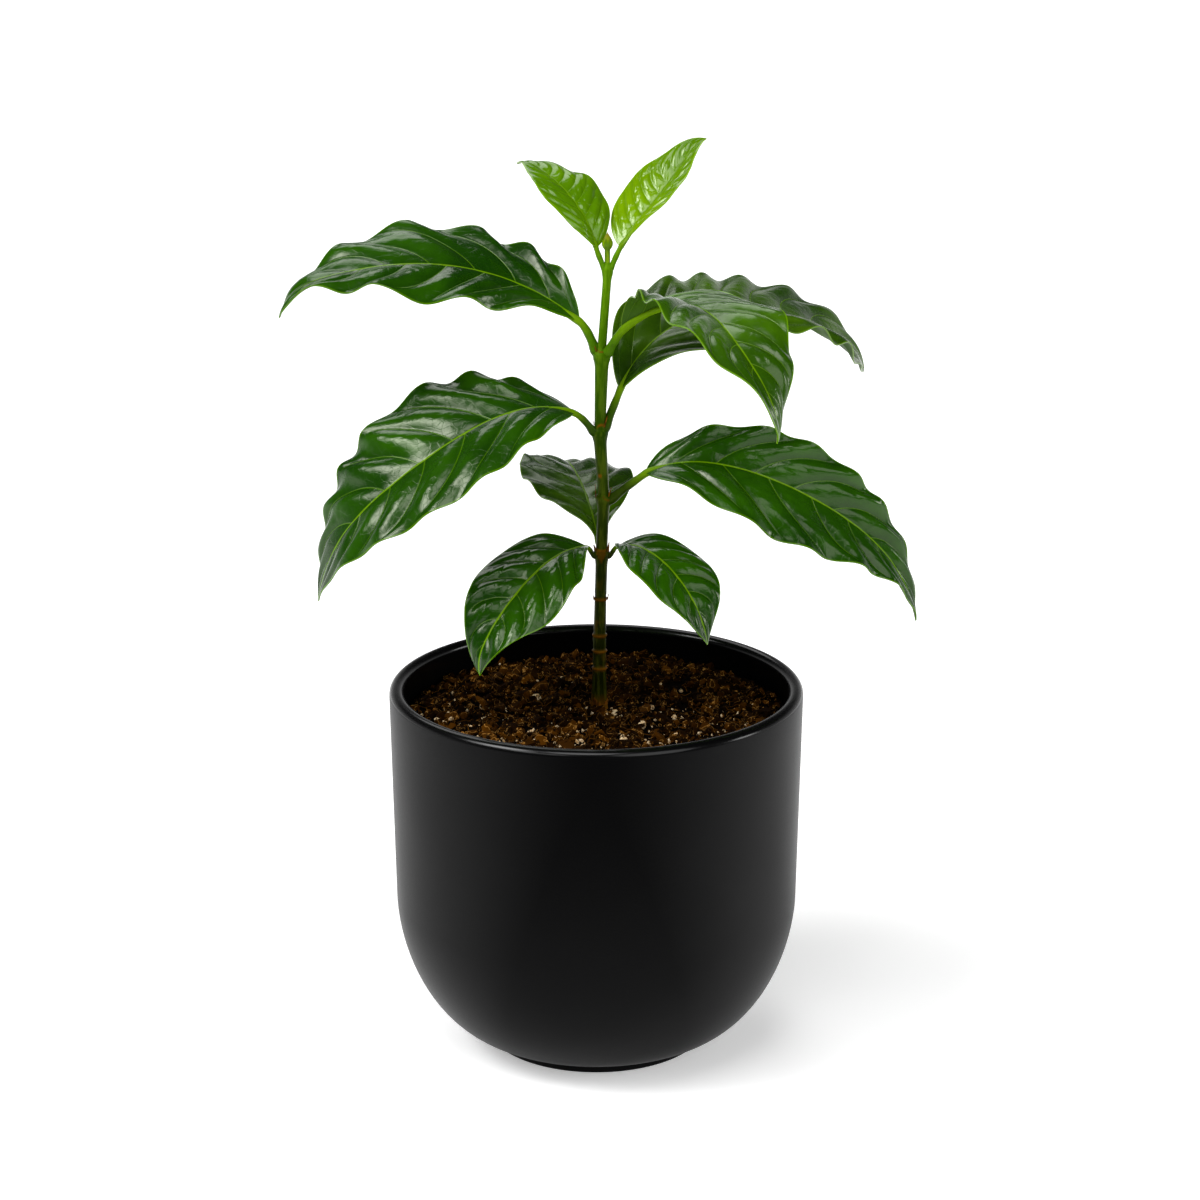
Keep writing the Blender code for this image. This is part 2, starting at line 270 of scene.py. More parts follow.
# %% Pot sizes
RIM_RADIUS = 57.5
POT_HEIGHT = 104.0
WALL = 4.1
SHOULDER_RADIUS = 56.5
SHOULDER_HEIGHT = 43.2
FOOT_HEIGHT = 3.3
BELLY_DEPTH = SHOULDER_HEIGHT - FOOT_HEIGHT
BELLY_POWER = 1.82
FOOT_RADIUS = 31.4
FLOOR = 6.0
SOIL_HEIGHT = 97.5


def belly(angle, inset=0.0):
    """A point of the belly, from the shoulder (0) to the foot (pi / 2)."""
    across = math.cos(angle) ** (2.0 / BELLY_POWER)
    down = math.sin(angle) ** (2.0 / BELLY_POWER)
    radius = FOOT_RADIUS + (SHOULDER_RADIUS - FOOT_RADIUS - inset) * across
    return radius, SHOULDER_HEIGHT - (BELLY_DEPTH - inset) * down


def pot_rings():
    """Radius and height of every ring, from the foot over the lip to the floor."""
    rings = [(FOOT_RADIUS - 0.8, 0.0), (FOOT_RADIUS - 0.25, 0.25), (FOOT_RADIUS, 0.8)]
    rings += [belly(math.pi / 2 * (1.0 - i / 24)) for i in range(25)]
    top = POT_HEIGHT - WALL / 2.0
    for i in range(1, 9):
        share = i / 8
        rings.append((SHOULDER_RADIUS + (RIM_RADIUS - SHOULDER_RADIUS) * share,
                      SHOULDER_HEIGHT + (top - SHOULDER_HEIGHT) * share))
    middle = RIM_RADIUS - WALL / 2.0
    for i in range(1, 13):
        angle = math.pi * i / 12
        rings.append((middle + WALL / 2.0 * math.cos(angle),
                      top + WALL / 2.0 * math.sin(angle)))
    inner = RIM_RADIUS - WALL
    for i in range(1, 5):
        share = i / 4
        rings.append((inner - share, top + (SHOULDER_HEIGHT - top) * share))
    rings += [belly(math.pi / 2 * i / 10, WALL) for i in range(1, 10)]
    return rings


# %% Raise the pot from its foot
def make_pot():
    rings = pot_rings()
    radius, height = rings[0]
    deselect_all()
    bpy.ops.mesh.primitive_circle_add(vertices=128, radius=radius * MM, fill_type="TRIFAN",
                                      location=(0.0, 0.0, height * MM))
    pot = bpy.context.object
    pot.name = "pot_glazed"
    bpy.ops.object.transform_apply(location=True)
    bpy.ops.object.mode_set(mode="EDIT")
    bpy.ops.mesh.select_all(action="DESELECT")
    bpy.ops.mesh.select_mode(type="EDGE")
    bpy.ops.mesh.select_non_manifold()
    for ring_radius, ring_height in rings[1:]:
        bpy.ops.mesh.extrude_edges_move(
            TRANSFORM_OT_translate={"value": (0.0, 0.0, (ring_height - height) * MM)})
        share = ring_radius / radius
        bpy.ops.transform.resize(value=(share, share, 1.0),
                                 center_override=(0.0, 0.0, ring_height * MM))
        radius, height = ring_radius, ring_height
    bpy.ops.mesh.extrude_edges_move()
    bpy.ops.mesh.merge(type="CENTER")
    bpy.ops.mesh.select_all(action="SELECT")
    bpy.ops.mesh.normals_make_consistent(inside=False)
    bpy.ops.object.mode_set(mode="OBJECT")
    smooth(pot, 50)
    return pot


glaze = Finish("satin_black_glaze", Specular_IOR_Level=0.02, Coat_Roughness=0.17)
spot = glaze.place()
height = glaze.part(spot, 2)
cloud = glaze.noise(spot, 38.0, 4.0)
grain = glaze.noise(spot, 1900.0, 2.0)
sides = abs(glaze.part(spot, 0)).band(0.002, 0.046)
low_down = height.band(0.095, 0.020) * 0.5
lip = height.band(0.1021, 0.1027) * 2.4
gloss = sides.larger(low_down).larger(lip) * 0.21 + 0.006
glaze.feed(Base_Color=glaze.mix(cloud, (0.0006, 0.0006, 0.0007), (0.0013, 0.0013, 0.0014)),
           Roughness=0.40 + 0.10 * grain, Coat_Weight=gloss * (0.85 + 0.30 * cloud))
glaze.bump(grain, 0.00003, 0.3)

pot = make_pot()
pot.data.materials.append(glaze.material)
settle(pot, "pot_glaze", "pot")

# %% [markdown]
# The stem is one limb from the soil to the bud. It is widest just below each
# node, swells where the leaf stalks leave, and keeps a ring where an old pair
# of leaves has dropped. The sections are the frame's own, with the swelling
# rounded by a smooth curve between them.

# %% Stem sizes
STEM_FOOT_OFFSET = 0.8
NODE_LOW = (142.0, 1.5, 3.3, 4.5, 3.2)
NODE_LOWER = (157.5, 2.0, 3.2, 4.6, 3.1)
NODE_MIDDLE = (176.0, 1.0, 3.5, 4.7, 3.0)
NODE_UPPER = (197.5, 1.5, 3.8, 4.9, 2.4)
NODE_TOP = (220.5, 3.0, 2.3, 3.2, 1.6)
NODES = (NODE_LOW, NODE_LOWER, NODE_MIDDLE, NODE_UPPER, NODE_TOP)
RING_HEIGHTS = (108.5, 113.5, 118.0, 128.5)
# height, heading in degrees, reach either way in degrees, rise at the ends, half thickness
SCARS = (
    (197.9, -90, 80, 1.1, 0.16), (197.9, 90, 80, 1.1, 0.16),
    (177.8, -75, 55, -0.9, 0.34), (177.2, 90, 70, 0.7, 0.20),
    (156.8, -50, 50, 1.5, 0.22), (157.4, 90, 70, 0.9, 0.20),
    (142.4, -90, 75, 1.3, 0.16), (142.4, 90, 75, 1.3, 0.20),
    (163.6, -115, 20, 0.0, 0.50),
)
STEM_TOP = 220.6
LIMB_LOW, LIMB_HIGH = 0.100, 0.225
LIMB_TONES = ((0.08, (0.007, 0.010, 0.000)), (0.30, (0.009, 0.018, 0.000)),
              (0.45, (0.019, 0.042, 0.000)), (0.60, (0.016, 0.050, 0.000)),
              (0.72, (0.034, 0.105, 0.000)), (0.86, (0.070, 0.190, 0.000)),
              (0.97, (0.095, 0.250, 0.001)))
rng = np.random.default_rng(7)


def stem_line():
    """Heights, offsets and radii of the stem's plain taper between nodes."""
    foot = SOIL_HEIGHT - 2.0
    knots = [(foot, STEM_FOOT_OFFSET, 2.55), (foot + 3.5, STEM_FOOT_OFFSET, 2.25),
             (foot + 8.0, STEM_FOOT_OFFSET, 2.0), (RING_HEIGHTS[0], 0.9, 1.85),
             (RING_HEIGHTS[2], 1.0, 1.72), (RING_HEIGHTS[3], 1.2, 1.62)]
    for height, offset, below, swelling, above in NODES:
        knots.append((height - 2.0, offset, below / 2.0))
        knots.append((height + 1.0, offset, above / 2.0))
    knots[-1] = (STEM_TOP + 1.5, NODE_TOP[1], 0.8)
    return np.array(knots).T


def stem_at(height):
    """Offset and radius of the stem, with its node swellings and rings."""
    heights, offsets, radii = stem_line()
    offset = np.interp(height, heights, offsets)
    radius = np.interp(height, heights, radii)
    for node_height, _, below, swelling, above in NODES:
        plain = (below + above) / 4.0
        beyond = height - node_height + 0.3
        rise = np.exp(-(beyond / np.where(beyond > 0.0, 0.75, 2.0)) ** 2)
        radius = radius + (swelling / 2.0 - plain) * 0.95 * rise
    for ring in RING_HEIGHTS:
        radius = radius + 0.36 * np.exp(-((height - ring) / 0.30) ** 2)
        radius = radius - 0.08 * np.exp(-((height - ring - 0.8) / 0.4) ** 2)
    return offset, radius


def away_from(angle, facing):
    """How far round the stem an angle is from the side that faces a heading in degrees."""
    return np.abs(np.angle(np.exp(1j * (angle - math.radians(facing)))))


def scar_lines(height, angle):
    """1 on the thin brown line that each pair of stalks leaves across a node, else 0."""
    total = np.zeros_like(height)
    for level, facing, reach, sag, thickness in SCARS:
        away = away_from(angle, facing) / math.radians(reach)
        line = np.exp(-((height - level - sag * away * away) / thickness) ** 2)
        total = np.maximum(total, line * np.clip(3.0 - 3.0 * away, 0.0, 1.0))
    return total


# %% Lay the stem's skin and its relief
def stem_skin(across, along):
    height = SOIL_HEIGHT - 2.0 + along * (STEM_TOP + 1.4 - SOIL_HEIGHT + 2.0)
    offset, radius = stem_at(height)
    angle = across * math.tau
    ridges = np.zeros_like(angle)
    for count, size in ((3, 0.05), (5, 0.035), (9, 0.02)):
        turn = rng.uniform(0, math.tau)
        ridges += size * np.sin(count * angle + turn + 0.05 * height)
    for _ in range(26):
        middle = rng.uniform(SOIL_HEIGHT, 135.0)
        away = away_from(angle, rng.uniform(0.0, 360.0))
        ridges += 0.07 * np.exp(-((height - middle) / 1.3) ** 2 - (away / 0.45) ** 2)
    aged = np.clip((150.0 - height) / 40.0, 0.25, 1.0)
    radius = radius + ridges * aged + 0.13 * scar_lines(height, angle)
    ends = np.minimum(along, 1.0 - along) <= 1e-6
    radius = np.where(ends, 0.0, radius)
    return np.stack([offset + radius * np.cos(angle), radius * np.sin(angle), height], 1)


stem = laid_grid("stem_bark", 28, 420, stem_skin)
places = np.array([v.co for v in stem.data.vertices]) / MM
heights = places[:, 2]
turns = np.arctan2(places[:, 1], places[:, 0] - stem_at(heights)[0])
browned = scar_lines(heights, turns)
for ring in RING_HEIGHTS:
    browned = np.maximum(browned, np.exp(-((heights - ring) / 0.42) ** 2))
below_node = np.clip((142.6 - heights) / 4.4, 0.0, 1.0)
wedge = (0.95 * (1.0 - below_node) - away_from(turns, -95)) * (heights < 142.8)
browned = np.maximum(browned, np.clip(wedge * 3.0, 0.0, 0.55))
browned = np.maximum(browned, np.clip((101.5 - heights) / 5.0, 0.0, 1.0))
attribute = stem.data.attributes.new("browned", "FLOAT", "POINT")
attribute.data.foreach_set("value", browned.astype(np.float32))
close_seams(stem)
smooth(stem)


def limb_tone(finish, height):
    """Green of a shoot by its height in metres: bright when young, olive when old."""
    share = (height - LIMB_LOW) / (LIMB_HIGH - LIMB_LOW)
    return finish.node("ShaderNodeValToRGB", {"stops": LIMB_TONES}, {"Fac": share})


bark = Finish("green_bark", Specular_IOR_Level=0.06, Specular_Tint=(0.9, 1.0, 0.2, 1.0))
spot = bark.place()
height = bark.part(spot, 2)
aging = height.band(0.150, 0.115)
streak = bark.noise(bark.stretched(spot, (900.0, 900.0, 130.0)), 1.0, 5.0, 0.6)
blotch = bark.noise(spot, 220.0, 3.0)
tone = limb_tone(bark, height)
tone = bark.mix(streak.band(0.40, 0.62), bark.mix(0.20, tone, (0.0, 0.0, 0.0)),
                bark.mix(0.03, tone, (0.9, 1.0, 0.1)))
scar = bark.attribute("browned")
brown = bark.mix(blotch, (0.060, 0.020, 0.0), (0.210, 0.078, 0.003))
patchy = (blotch.band(0.56, 0.70) * aging * 0.25 + scar).smaller(1.0)
bark.feed(Base_Color=bark.mix(patchy, tone, brown), Roughness=0.36 + 0.25 * patchy)
bark.bump(streak + 0.5 * blotch, 0.00012, 0.5)
stem.data.materials.append(bark.material)
settle(stem, "stem", "stem")

# %% [markdown]
# A leaf is a blade bent along its midrib. Heading, pitch and roll at a few even
# steps say how the midrib runs, and half widths say how far the two halves
# reach. Crests are the places along each margin where its wave stands highest.
# The same sizes shaped the plain blades of the frame, so these fine ones lie
# in the same place.

# %% Leaf sizes
@dataclass
class Leaf:
    name: str
    node: tuple
    base: tuple
    length: float
    half_width: tuple
    heading: tuple
    pitch: tuple
    roll: tuple
    tip_hook: float = 0.0
    widest: float = 0.45
    fullness: float = 0.9
    lift: tuple = (10.0, 10.0)
    base_fold: tuple = (15.0, 15.0)
    fold_reach: float = 0.12
    slim_base: float = 0.0
    cup: float = 0.1
    wave_height: tuple = (0.0, 0.0)
    left_crests: tuple = (0.25, 0.5, 0.75)
    right_crests: tuple = (0.25, 0.5, 0.75)
    stalk_diameter: float = 2.2
    stalk_rise: float = 0.0
    stalk_start: float = 1.8


LEAVES = (
    Leaf("leaf_top_left", NODE_TOP, base=(0.0, -0.5, 226.0), length=40.0,
         half_width=(8.0, 10.0), heading=(150, 130, 135), pitch=(75, 40, 20, 15),
         roll=(5, 5, -5), tip_hook=-40, widest=0.4, base_fold=(5, 20), wave_height=(0.2, 0.6),
         left_crests=(0.3, 0.6, 0.9), right_crests=(0.2, 0.52, 0.8), stalk_diameter=1.5),
    Leaf("leaf_top_right", NODE_TOP, base=(6.5, -0.5, 226.0), length=40.0,
         half_width=(10.5, 8.0), heading=(35, 40, 35), pitch=(55, 40, 45, 50),
         roll=(10, 0, -10), tip_hook=-45, widest=0.4, lift=(20, 15), base_fold=(15, 5), cup=0.0,
         wave_height=(0.3, 0.2), left_crests=(0.2, 0.6, 0.9), right_crests=(0.5, 0.8),
         stalk_diameter=1.5),
    Leaf("leaf_upper_left", NODE_UPPER, base=(-4.5, 2.0, 205.5), length=90.0,
         half_width=(16.0, 21.0), heading=(155, 195, 195), pitch=(35, 15, -5, -15),
         roll=(10, 25, -15), tip_hook=-60, widest=0.48, lift=(5, 2), base_fold=(5, 55),
         fold_reach=0.18, wave_height=(2.0, 1.8), left_crests=(0.12, 0.39, 0.7, 0.88),
         right_crests=(0.12, 0.23, 0.35, 0.53, 0.73), stalk_diameter=2.3),
    Leaf("leaf_upper_right", NODE_UPPER, base=(7.0, -2.5, 204.0), length=86.0,
         half_width=(17.5, 17.0), heading=(-10, -70, -20), pitch=(50, 0, -25, -95),
         roll=(15, 5, 20), tip_hook=-5, fullness=0.8, lift=(15, 15), base_fold=(40, 55),
         slim_base=0.2, wave_height=(1.6, 1.3), left_crests=(0.2, 0.55, 0.8),
         right_crests=(0.25, 0.45, 0.65, 0.85), stalk_diameter=2.3),
    Leaf("leaf_middle_left", NODE_MIDDLE, base=(-6.0, -3.0, 181.5), length=97.0,
         half_width=(20.0, 23.0), heading=(195, 190, 130), pitch=(25, -27, -45, -100),
         roll=(10, 20, 50), tip_hook=25, widest=0.4, lift=(0, 20), base_fold=(0, -15),
         wave_height=(0.8, 1.4), left_crests=(0.22, 0.37, 0.53, 0.68, 0.83),
         right_crests=(0.12, 0.22, 0.34, 0.56, 0.68, 0.78), stalk_diameter=1.9),
    Leaf("leaf_middle_right", NODE_MIDDLE, base=(6.5, 1.5, 187.0), length=107.0,
         half_width=(24.5, 22.5), heading=(35, 40, 45), pitch=(65, 5, -20, -40),
         roll=(-25, 0, -45), tip_hook=-20, widest=0.5, fullness=0.75, lift=(20, 0),
         base_fold=(45, 35), wave_height=(1.2, 1.5),
         left_crests=(0.16, 0.38, 0.5, 0.62, 0.75, 0.87),
         right_crests=(0.13, 0.37, 0.55, 0.7, 0.9), stalk_diameter=2.1),
    Leaf("leaf_lower_right", NODE_LOWER, base=(13.5, -1.5, 164.5), length=96.0,
         half_width=(14.0, 18.5), heading=(-10, 5, 5), pitch=(30, -20, -40, -95),
         roll=(-5, -50, -5), tip_hook=15, widest=0.4, fullness=0.85, lift=(25, 15),
         base_fold=(10, -15), wave_height=(1.1, 1.6),
         left_crests=(0.18, 0.32, 0.44, 0.58, 0.68, 0.8),
         right_crests=(0.09, 0.33, 0.52, 0.7, 0.85), stalk_diameter=2.3, stalk_rise=0.8),
    Leaf("leaf_low_left", NODE_LOW, base=(-2.5, -1.5, 143.5), length=53.0,
         half_width=(13.5, 13.0), heading=(215, 225, 205), pitch=(10, -25, -45, -85),
         roll=(-5, 20, 10), tip_hook=-20, widest=0.43, lift=(5, 15), wave_height=(1.4, 2.0),
         left_crests=(0.1, 0.36, 0.8), right_crests=(0.1, 0.7), stalk_diameter=1.3,
         stalk_start=0.3),
    Leaf("leaf_low_right", NODE_LOW, base=(5.5, -1.0, 143.5), length=44.0,
         half_width=(13.0, 12.5), heading=(-40, -42, -25), pitch=(25, -20, -50, -90),
         roll=(5, -5, -5), tip_hook=10, fullness=0.95, wave_height=(1.8, 0.4),
         left_crests=(0.1, 0.75), right_crests=(0.2, 0.5, 0.8), stalk_diameter=1.3,
         stalk_start=0.3),
    Leaf("leaf_low_rear", NODE_LOW, base=(0.5, 4.0, 143.0), length=67.0,
         half_width=(17.0, 16.0), heading=(105, 100, 110), pitch=(60, 10, 0, -55),
         roll=(5, -5, -10), widest=0.5, fullness=1.0, base_fold=(50, 20), wave_height=(0.8, 0.9),
         left_crests=(0.2, 0.37, 0.54, 0.7), right_crests=(0.3, 0.55, 0.8), stalk_diameter=1.5,
         stalk_start=0.3),
)

# pairs of side veins, how far the blade bulges between two of them, how far each half
# swells as a whole, blisters on the bulges, fine crinkle
SURFACE = {
    "leaf_top_left": (9.0, 0.50, 0.30, 0.22, 0.01), "leaf_top_right": (10.0, 0.50, 0.50, 0.26, 0.01),
    "leaf_upper_left": (8.0, 1.20, 0.10, 0.10, 0.03), "leaf_upper_right": (9.0, 1.10, 0.10, 0.14, 0.04),
    "leaf_middle_left": (8.0, 1.40, 0.10, 0.10, 0.03), "leaf_middle_right": (9.0, 1.20, 0.0, 0.10, 0.03),
    "leaf_lower_right": (8.0, 1.35, 0.10, 0.16, 0.03), "leaf_low_left": (7.0, 1.05, 0.10, 0.24, 0.03),
    "leaf_low_right": (7.0, 1.00, 0.10, 0.20, 0.03), "leaf_low_rear": (7.0, 1.10, 0.0, 0.08, 0.03),
}
BLISTER_LENGTH = 3.6
VEIN_LEAN = 0.10
VEIN_ARCH = 0.13
VEIN_JITTER = 0.09
HOOK_START = 0.8
SLIM_REACH = 0.15
WAVE_START = 0.18
WAVE_SWEEP = 0.12
MARGIN_POWER = 2.2

# %% [markdown]
# Side veins leave the midrib in pairs and arch forward to the margin. The
# blade is sunk along each vein and bulges between two of them, which breaks
# the gloss of an old leaf into long soft patches. A finer crinkle runs over
# the bulges. Young leaves have hardly any relief.

# %% The blade as a surface
def along_curve(values, t):
    """The smooth curve through evenly spaced values, at t from 0 to 1."""
    last = len(values) - 1
    total = np.zeros_like(t)
    for i, value in enumerate(values):
        weight = np.ones_like(t)
        for j in range(last + 1):
            if j != i:
                weight = weight * (t * last - j) / (i - j)
        total = total + weight * value
    return total


def directions(leaf, t):
    heading = np.radians(along_curve(leaf.heading, t))
    bend = leaf.tip_hook * np.clip((t - HOOK_START) / (1.0 - HOOK_START), 0.0, 1.0) ** 1.5
    pitch = np.radians(along_curve(leaf.pitch, t) + bend)
    roll = np.radians(along_curve(leaf.roll, t))[:, None]
    forward = np.stack([np.cos(pitch) * np.cos(heading),
                        np.cos(pitch) * np.sin(heading), np.sin(pitch)], 1)
    level = np.stack([np.sin(heading), -np.cos(heading), 0.0 * heading], 1)
    up = np.cross(level, forward)
    side = level * np.cos(roll) + up * np.sin(roll)
    normal = up * np.cos(roll) - level * np.sin(roll)
    return forward, side, normal


def midrib(leaf, t):
    """Points of the midrib at t, found by adding up its directions."""
    steps = 400
    middle = (np.arange(steps) + 0.5) / steps
    forward = directions(leaf, middle)[0] * leaf.length / steps
    line = np.vstack([[0.0, 0.0, 0.0], np.cumsum(forward, 0)]) + np.array(leaf.base)
    places = np.linspace(0.0, 1.0, steps + 1)
    return np.stack([np.interp(t, places, line[:, i]) for i in range(3)], 1)


def blade_width(leaf, t):
    power = math.log(0.5) / math.log(leaf.widest)
    return np.sin(math.pi * np.clip(t, 0.0, 1.0) ** power).clip(0.0) ** leaf.fullness


def pick(pair, u):
    return np.where(u > 0, pair[1], pair[0])


def crest_turns(crests, t):
    """Counts a margin's crests up to t: whole on a crest, even between two."""
    first = crests[1] - crests[0]
    last = crests[-1] - crests[-2]
    before = [crests[0] - first * k for k in (3, 2, 1)]
    after = [crests[-1] + last * k for k in (1, 2, 3)]
    places = [*before, *crests, *after]
    return np.interp(t, places, range(len(places)))


def vein_turn(leaf):
    """A start for each leaf, so that no two leaves have their veins alike."""
    return 1.7 * LEAVES.index(leaf)


def vein_phase(leaf, t, u):
    """Whole numbers of this lie on side veins, alternating between the halves."""
    away = np.abs(u)
    swept = t - VEIN_LEAN * away - VEIN_ARCH * away * away
    uneven = VEIN_JITTER * np.sin(9.0 * t + vein_turn(leaf) + 2.0 * (u > 0))
    return swept * SURFACE[leaf.name][0] + np.where(u > 0, 0.12, 0.42) + uneven


def make_crinkle(seed):
    """Many small waves in all directions, as a function of millimetres."""
    local = np.random.default_rng(seed)
    waves = [(math.tau / local.uniform(1.8, 4.5), local.uniform(0, math.tau),
              local.uniform(0, math.tau)) for _ in range(22)]

    def crinkle(x, y):
        total = np.zeros_like(x)
        for number, heading, start in waves:
            total += np.sin(number * (x * math.cos(heading) + y * math.sin(heading)) + start)
        return total / math.sqrt(len(waves))

    return crinkle


def blade_relief(leaf, u, t, distance):
    """Bulges between the side veins, blisters on them and a crinkle, in millimetres."""
    pairs, bulge, swell, blister, fine = SURFACE[leaf.name]
    phase = vein_phase(leaf, t, u)
    panel = np.abs(np.sin(math.pi * phase))
    row = np.floor(phase) * 2.4 + (u > 0)
    bend = 0.35 * np.sin(2.2 * phase + row) + 0.25 * np.sin(0.9 * distance + 2.0 * row)
    blisters = np.abs(np.sin(math.pi * (distance / BLISTER_LENGTH + bend + 0.41 * row)))
    crinkle = make_crinkle(LEAVES.index(leaf))(t * leaf.length, distance * np.sign(u))
    away = np.abs(u)
    dome = 4.0 * away * (1.0 - away)
    return (dome * (bulge * (panel - 0.35) + swell)
            + dome ** 0.5 * panel * (blister * (blisters ** 0.7 - 0.6) + fine * crinkle))


def blade_reach(leaf, u, t):
    """How far the half that u is on reaches from the midrib at t."""
    slim = 1.0 - leaf.slim_base * np.exp(-(t / SLIM_REACH) ** 2)
    return pick(leaf.half_width, u) * blade_width(leaf, t) * slim


def blade_points(leaf, u, t):
    forward, side, normal = directions(leaf, t)
    width = blade_width(leaf, t)
    away = np.abs(u)
    distance = blade_reach(leaf, u, t) * away
    fold = pick(leaf.base_fold, u) * np.exp(-(t / leaf.fold_reach) ** 2)
    lift = np.radians(pick(leaf.lift, u) + fold)
    across = distance * np.cos(lift) * np.sign(u)
    rise = distance * np.sin(lift) - leaf.cup * distance * away
    swept = t + WAVE_SWEEP * (1.0 - away)
    turn = np.where(u > 0, crest_turns(leaf.right_crests, swept),
                    crest_turns(leaf.left_crests, swept))
    ease = np.clip(t / WAVE_START, 0.0, 1.0)
    strength = np.minimum(1.0, 1.3 * width) * ease * ease * (3.0 - 2.0 * ease)
    wave = pick(leaf.wave_height, u) * np.cos(math.tau * turn)
    rise = rise + wave * strength * away ** MARGIN_POWER
    rise = rise + blade_relief(leaf, u, t, distance) * strength
    return midrib(leaf, t) + side * across[:, None] + normal * rise[:, None]


# %% Leaf finishes
GLOSS_TINT = (0.96, 1.0, 0.80)


def leaf_finish(name, deep, light, vein, rib, gloss, roughness, crease=0.9, underside=False):
    """A skin with a pale midrib, fine side veins, a thin pale margin and painted shade in the valleys
    beside the veins.
    """
    skin = Finish(name, Specular_IOR_Level=gloss, Specular_Tint=(*GLOSS_TINT, 1.0),
                  Coat_Roughness=0.10)
    across, along = skin.uv()
    spot = skin.place()
    u = (across - 0.5) * 2.0
    away = abs(u)
    right = u.band(-0.001, 0.001)
    pairs = skin.attribute("vein_pairs")
    turn = skin.attribute("vein_turn")
    swept = along - away * VEIN_LEAN - away * away * VEIN_ARCH
    uneven = (along * 9.0 + turn + right * 2.0).sine() * VEIN_JITTER
    phase = swept * pairs + 0.42 - right * 0.30 + uneven
    gap = abs((phase + 0.5).fraction() - 0.5)
    vein_line = gap.band(0.030, 0.008) * away.band(0.95, 0.75)
    painted_valley_shade = gap.band(0.30, 0.02)
    net = skin.cells(spot, 420.0).band(0.06, 0.0)
    cloud = skin.noise(spot, 38.0, 3.0)
    mottle = skin.noise(spot, 330.0, 4.0)
    edge = skin.attribute("from_margin").band(0.46, 0.20)
    ribbed = skin.attribute("from_rib").band(0.40, 0.18)
    tone = skin.mix(cloud.band(0.32, 0.68), deep, light)
    # painted shade: the valleys beside each side vein are darkened towards the deep green
    tone = skin.mix(painted_valley_shade * 0.45, tone, deep)
    tone = skin.mix(mottle.band(0.45, 0.8) * 0.30, tone, deep)
    tone = skin.mix(net * 0.16, tone, light)
    tone = skin.mix(vein_line * 0.60, tone, vein)
    tone = skin.mix(edge * 0.85, tone, vein)
    tone = skin.mix(ribbed, tone, rib)
    skin.feed(Base_Color=tone, Roughness=roughness - 0.05 + 0.10 * mottle,
              Coat_Weight=gloss * 0.10 * cloud)
    relief = mottle * 0.5 - net * 0.16 + vein_line * (crease if underside else -crease)
    skin.bump(relief, 0.00015, 0.6)
    return skin


mature = leaf_finish("mature_leaf_skin", (0.0050, 0.0350, 0.0000), (0.0200, 0.0900, 0.0000),
                     (0.080, 0.200, 0.000), (0.120, 0.260, 0.000), 0.37, 0.18)
# painted sheen: a paler copy of the mature finish, its greens raised to stand for the grey-green sheen
# on the middle right and low rear leaves
painted_sheen = leaf_finish("shaded_leaf_skin", (0.0130, 0.0480, 0.0000), (0.0560, 0.1400, 0.0000),
                     (0.090, 0.200, 0.000), (0.120, 0.250, 0.000), 0.34, 0.26)
# a lighter copy of the mature finish, for the upper right leaf
lighter_mature = leaf_finish("fresh_leaf_skin", (0.0190, 0.0700, 0.0000), (0.0520, 0.1500, 0.0000),
                    (0.120, 0.270, 0.000), (0.140, 0.290, 0.000), 0.42, 0.20)
young = leaf_finish("young_leaf_skin", (0.066, 0.180, 0.0000), (0.125, 0.285, 0.0000),
                    (0.160, 0.340, 0.000), (0.110, 0.250, 0.000), 0.44, 0.12,
                    crease=0.3)
# a lighter copy of the young finish, for the top right leaf
lighter_young = leaf_finish("newest_leaf_skin", (0.085, 0.210, 0.0000), (0.180, 0.350, 0.0000),
                     (0.210, 0.400, 0.000), (0.140, 0.290, 0.000), 0.44, 0.10,
                     crease=0.3)
mature_back = leaf_finish("mature_leaf_back", (0.030, 0.085, 0.003), (0.052, 0.125, 0.006),
                          (0.110, 0.210, 0.012), (0.130, 0.240, 0.010), 0.10, 0.45,
                          underside=True)
young_back = leaf_finish("young_leaf_back", (0.080, 0.190, 0.004), (0.125, 0.260, 0.008),
                         (0.170, 0.320, 0.012), (0.180, 0.330, 0.012), 0.12, 0.40,
                         underside=True)
PAINTED_SHEEN_LEAVES = ("leaf_middle_right", "leaf_low_rear")


def leaf_skins(leaf):
    """Upper and lower finish of a leaf: young on the top pair and mature below, with lighter copies for
    the top right and upper right leaves, and a paler copy with painted sheen for the middle right and
    low rear leaves.
    """
    if leaf.node is NODE_TOP:
        return (lighter_young if leaf.name == "leaf_top_right" else young), young_back
    if leaf.name in PAINTED_SHEEN_LEAVES:
        return painted_sheen, mature_back
    return (lighter_mature if leaf.name == "leaf_upper_right" else mature), mature_back

# %% [markdown]
# Each blade is two skins a third of a millimetre apart, which Solidify makes
# from the one laid surface. The lower skin takes the second finish, because
# the back of a coffee leaf is paler and duller than its face.

# %% Make the blades
BLADE_THICKNESS = 0.35


